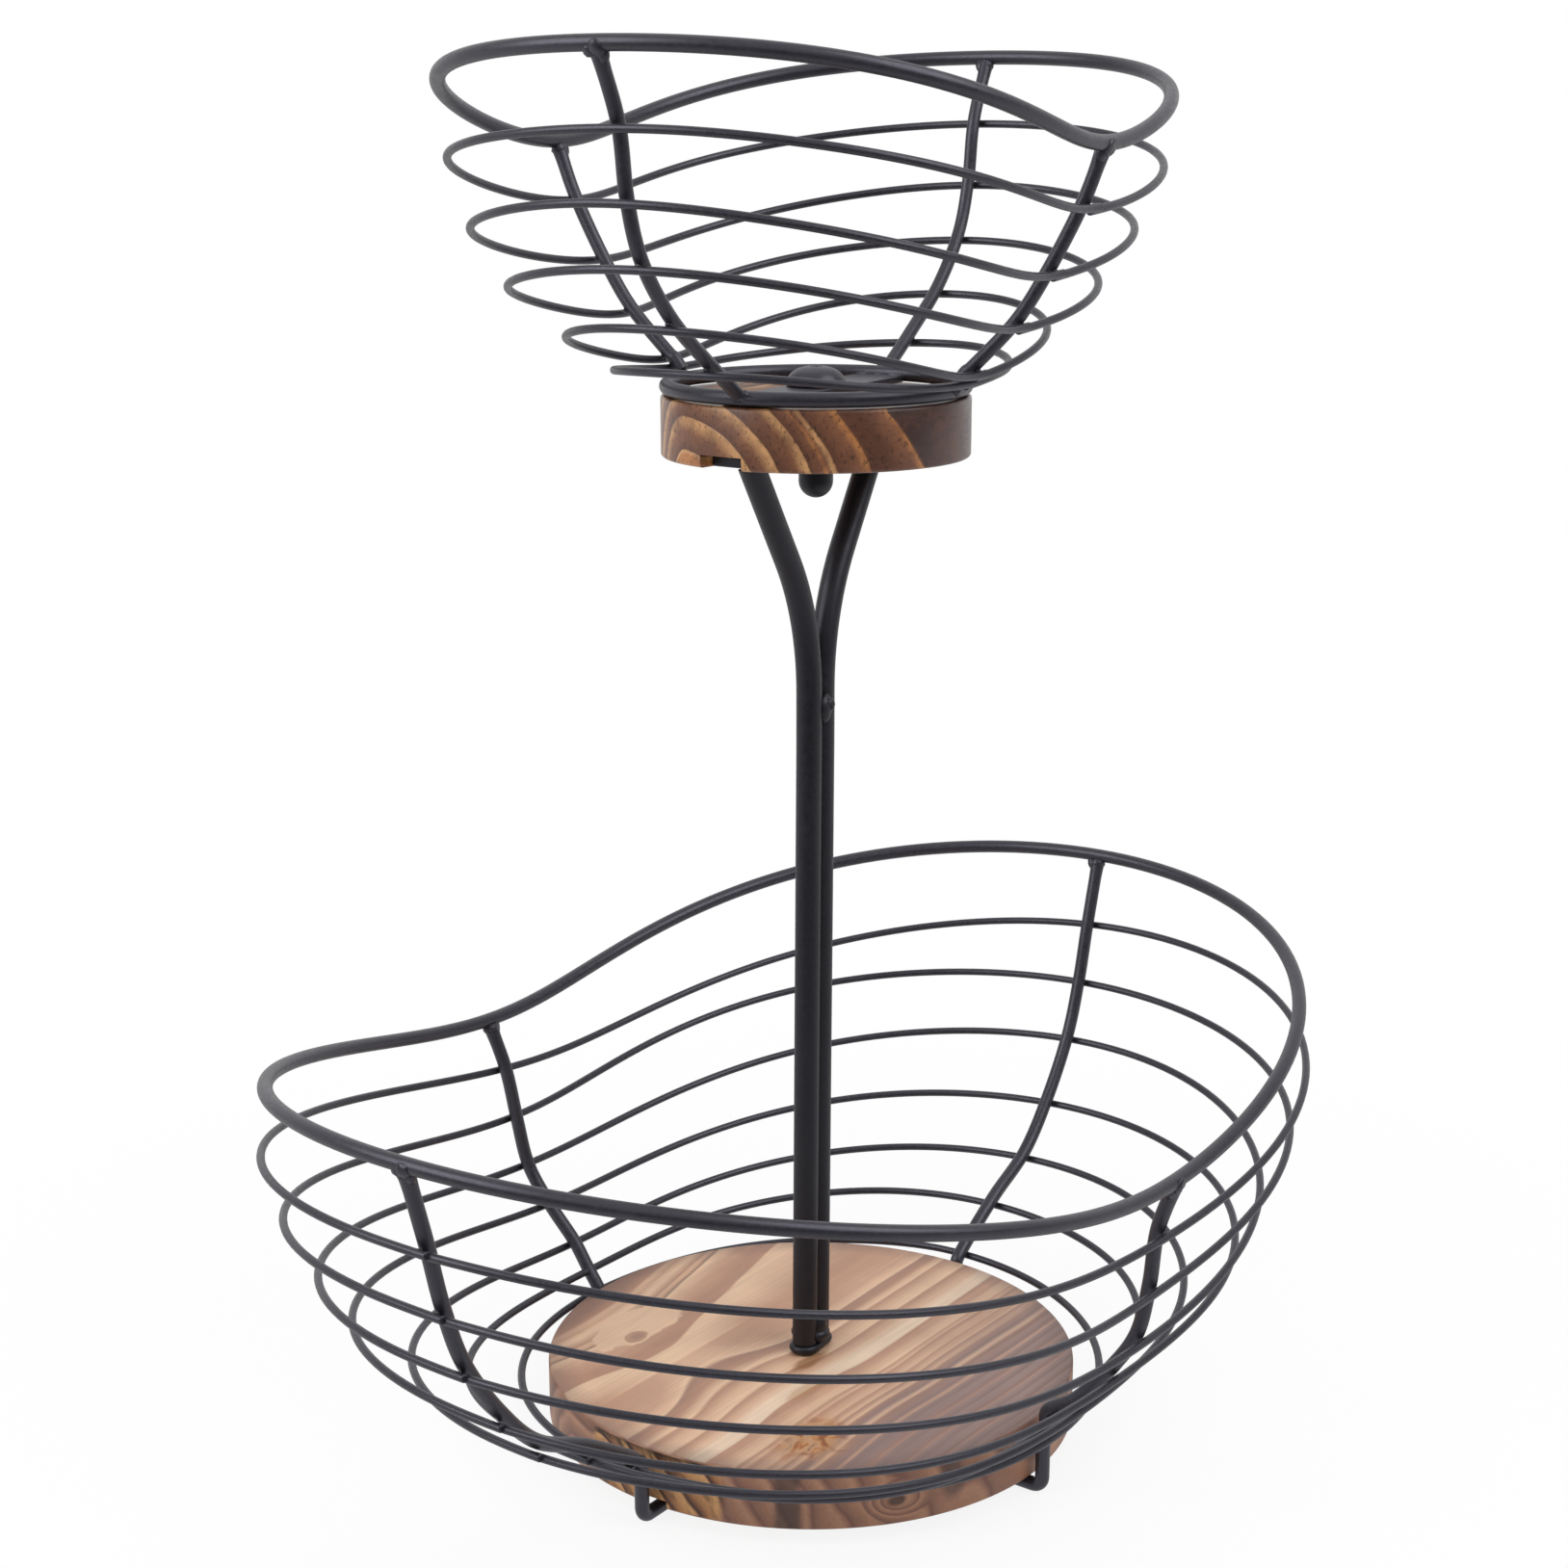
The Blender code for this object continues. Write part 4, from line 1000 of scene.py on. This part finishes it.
# The camera sees the far table white. What varnish and paint mirror of it gets darker towards the camera.
# For mirrored rays the table glows: a painted reflection, dimmer on the camera's side of the object.
nearer = vectors(matte, "DOT_PRODUCT", flat, (-sin(HEADING), -cos(HEADING), 0.0))
dim = add(matte, "MapRange", nearer, 0.0, 0.8, 0.75, 0.08, interpolation_type="SMOOTHSTEP")
dim = maths(matte, "MAXIMUM", dim, paths.outputs["Is Camera Ray"])
glow = add(matte, "Emission", (1, 1, 1, 1), dim)
add(matte, "OutputMaterial", add(matte, "MixShader", seen, table, glow))
floor_mesh.materials.append(matte)

world = bpy.data.worlds.new("studio")
bpy.context.scene.world = world
world.use_nodes = True
world.node_tree.nodes.clear()
# The camera sees a white world. All other rays see the surround, the mirrored ones too.
way = add(world, "TexCoord").node.outputs["Generated"]
ahead = vectors(world, "DOT_PRODUCT", way, (sin(HEADING), cos(HEADING), 0.0))
strength = add(world, "MapRange", ahead, 0.0, 0.85, 0.15, 1.0, interpolation_type="SMOOTHSTEP")
surround = add(world, "Background", (1, 1, 1, 1), strength)
white = add(world, "Background", (1, 1, 1, 1), 1.0)
mixed = add(world, "MixShader", add(world, "LightPath").outputs["Is Camera Ray"], surround, white)
add(world, "OutputWorld", mixed)


def soft_light(name, place, target, size, radiance):
    """A square light of even radiance."""
    data = bpy.data.lights.new(name, "AREA")
    data.shape = "SQUARE"
    data.size = size
    data.energy = radiance * pi * size**2
    light = placed(name, data)
    light.location = place
    light.rotation_euler = (Vector(target) - Vector(place)).to_track_quat("-Z", "Y").to_euler()


soft_light("top_light", (-0.1, 0.0, 1.5), (0, 0, 0.1), 1.5, 0.6)
soft_light("left_light", (-1.0, 0.58, 0.84), (0, 0, 0.3), 1.0, 3.5)
soft_light("right_light", (0.14, -0.92, 1.02), (0, 0, 0.3), 1.0, 3.1)
soft_light("front_light", (-0.9, -0.62, 0.9), (0, 0, 0.3), 0.8, 0.6)


# Camera, where the photograph was taken from, at the height of the upper rim. Its place, angles and focal
# length were fitted to points read off the photograph.

FOCAL_PIXELS, FRAME_PIXELS = 2830, 1628
CAMERA_DISTANCE, CAMERA_HEIGHT = 0.7215, 0.3646
camera_data = bpy.data.cameras.new("camera")
camera_data.sensor_width = 36
camera_data.lens = 36 * FOCAL_PIXELS / FRAME_PIXELS
camera_data.clip_start = 0.01
camera = placed("camera", camera_data)
TILT, ROLL, AROUND = radians(13.830), radians(-0.077), radians(55.26)
forward = Vector((sin(HEADING) * cos(TILT), cos(HEADING) * cos(TILT), -sin(TILT)))
level = Vector((cos(HEADING), -sin(HEADING), 0))
upward = level.cross(forward)
right = level * cos(ROLL) + upward * sin(ROLL)
upward = right.cross(forward)
stand_point = (-CAMERA_DISTANCE * sin(AROUND), -CAMERA_DISTANCE * cos(AROUND), CAMERA_HEIGHT)
looking = Matrix((right, upward, -forward)).transposed().to_4x4()
camera.matrix_world = Matrix.Translation(stand_point) @ looking
bpy.context.scene.camera = camera
bpy.context.scene.view_settings.view_transform = "Standard"
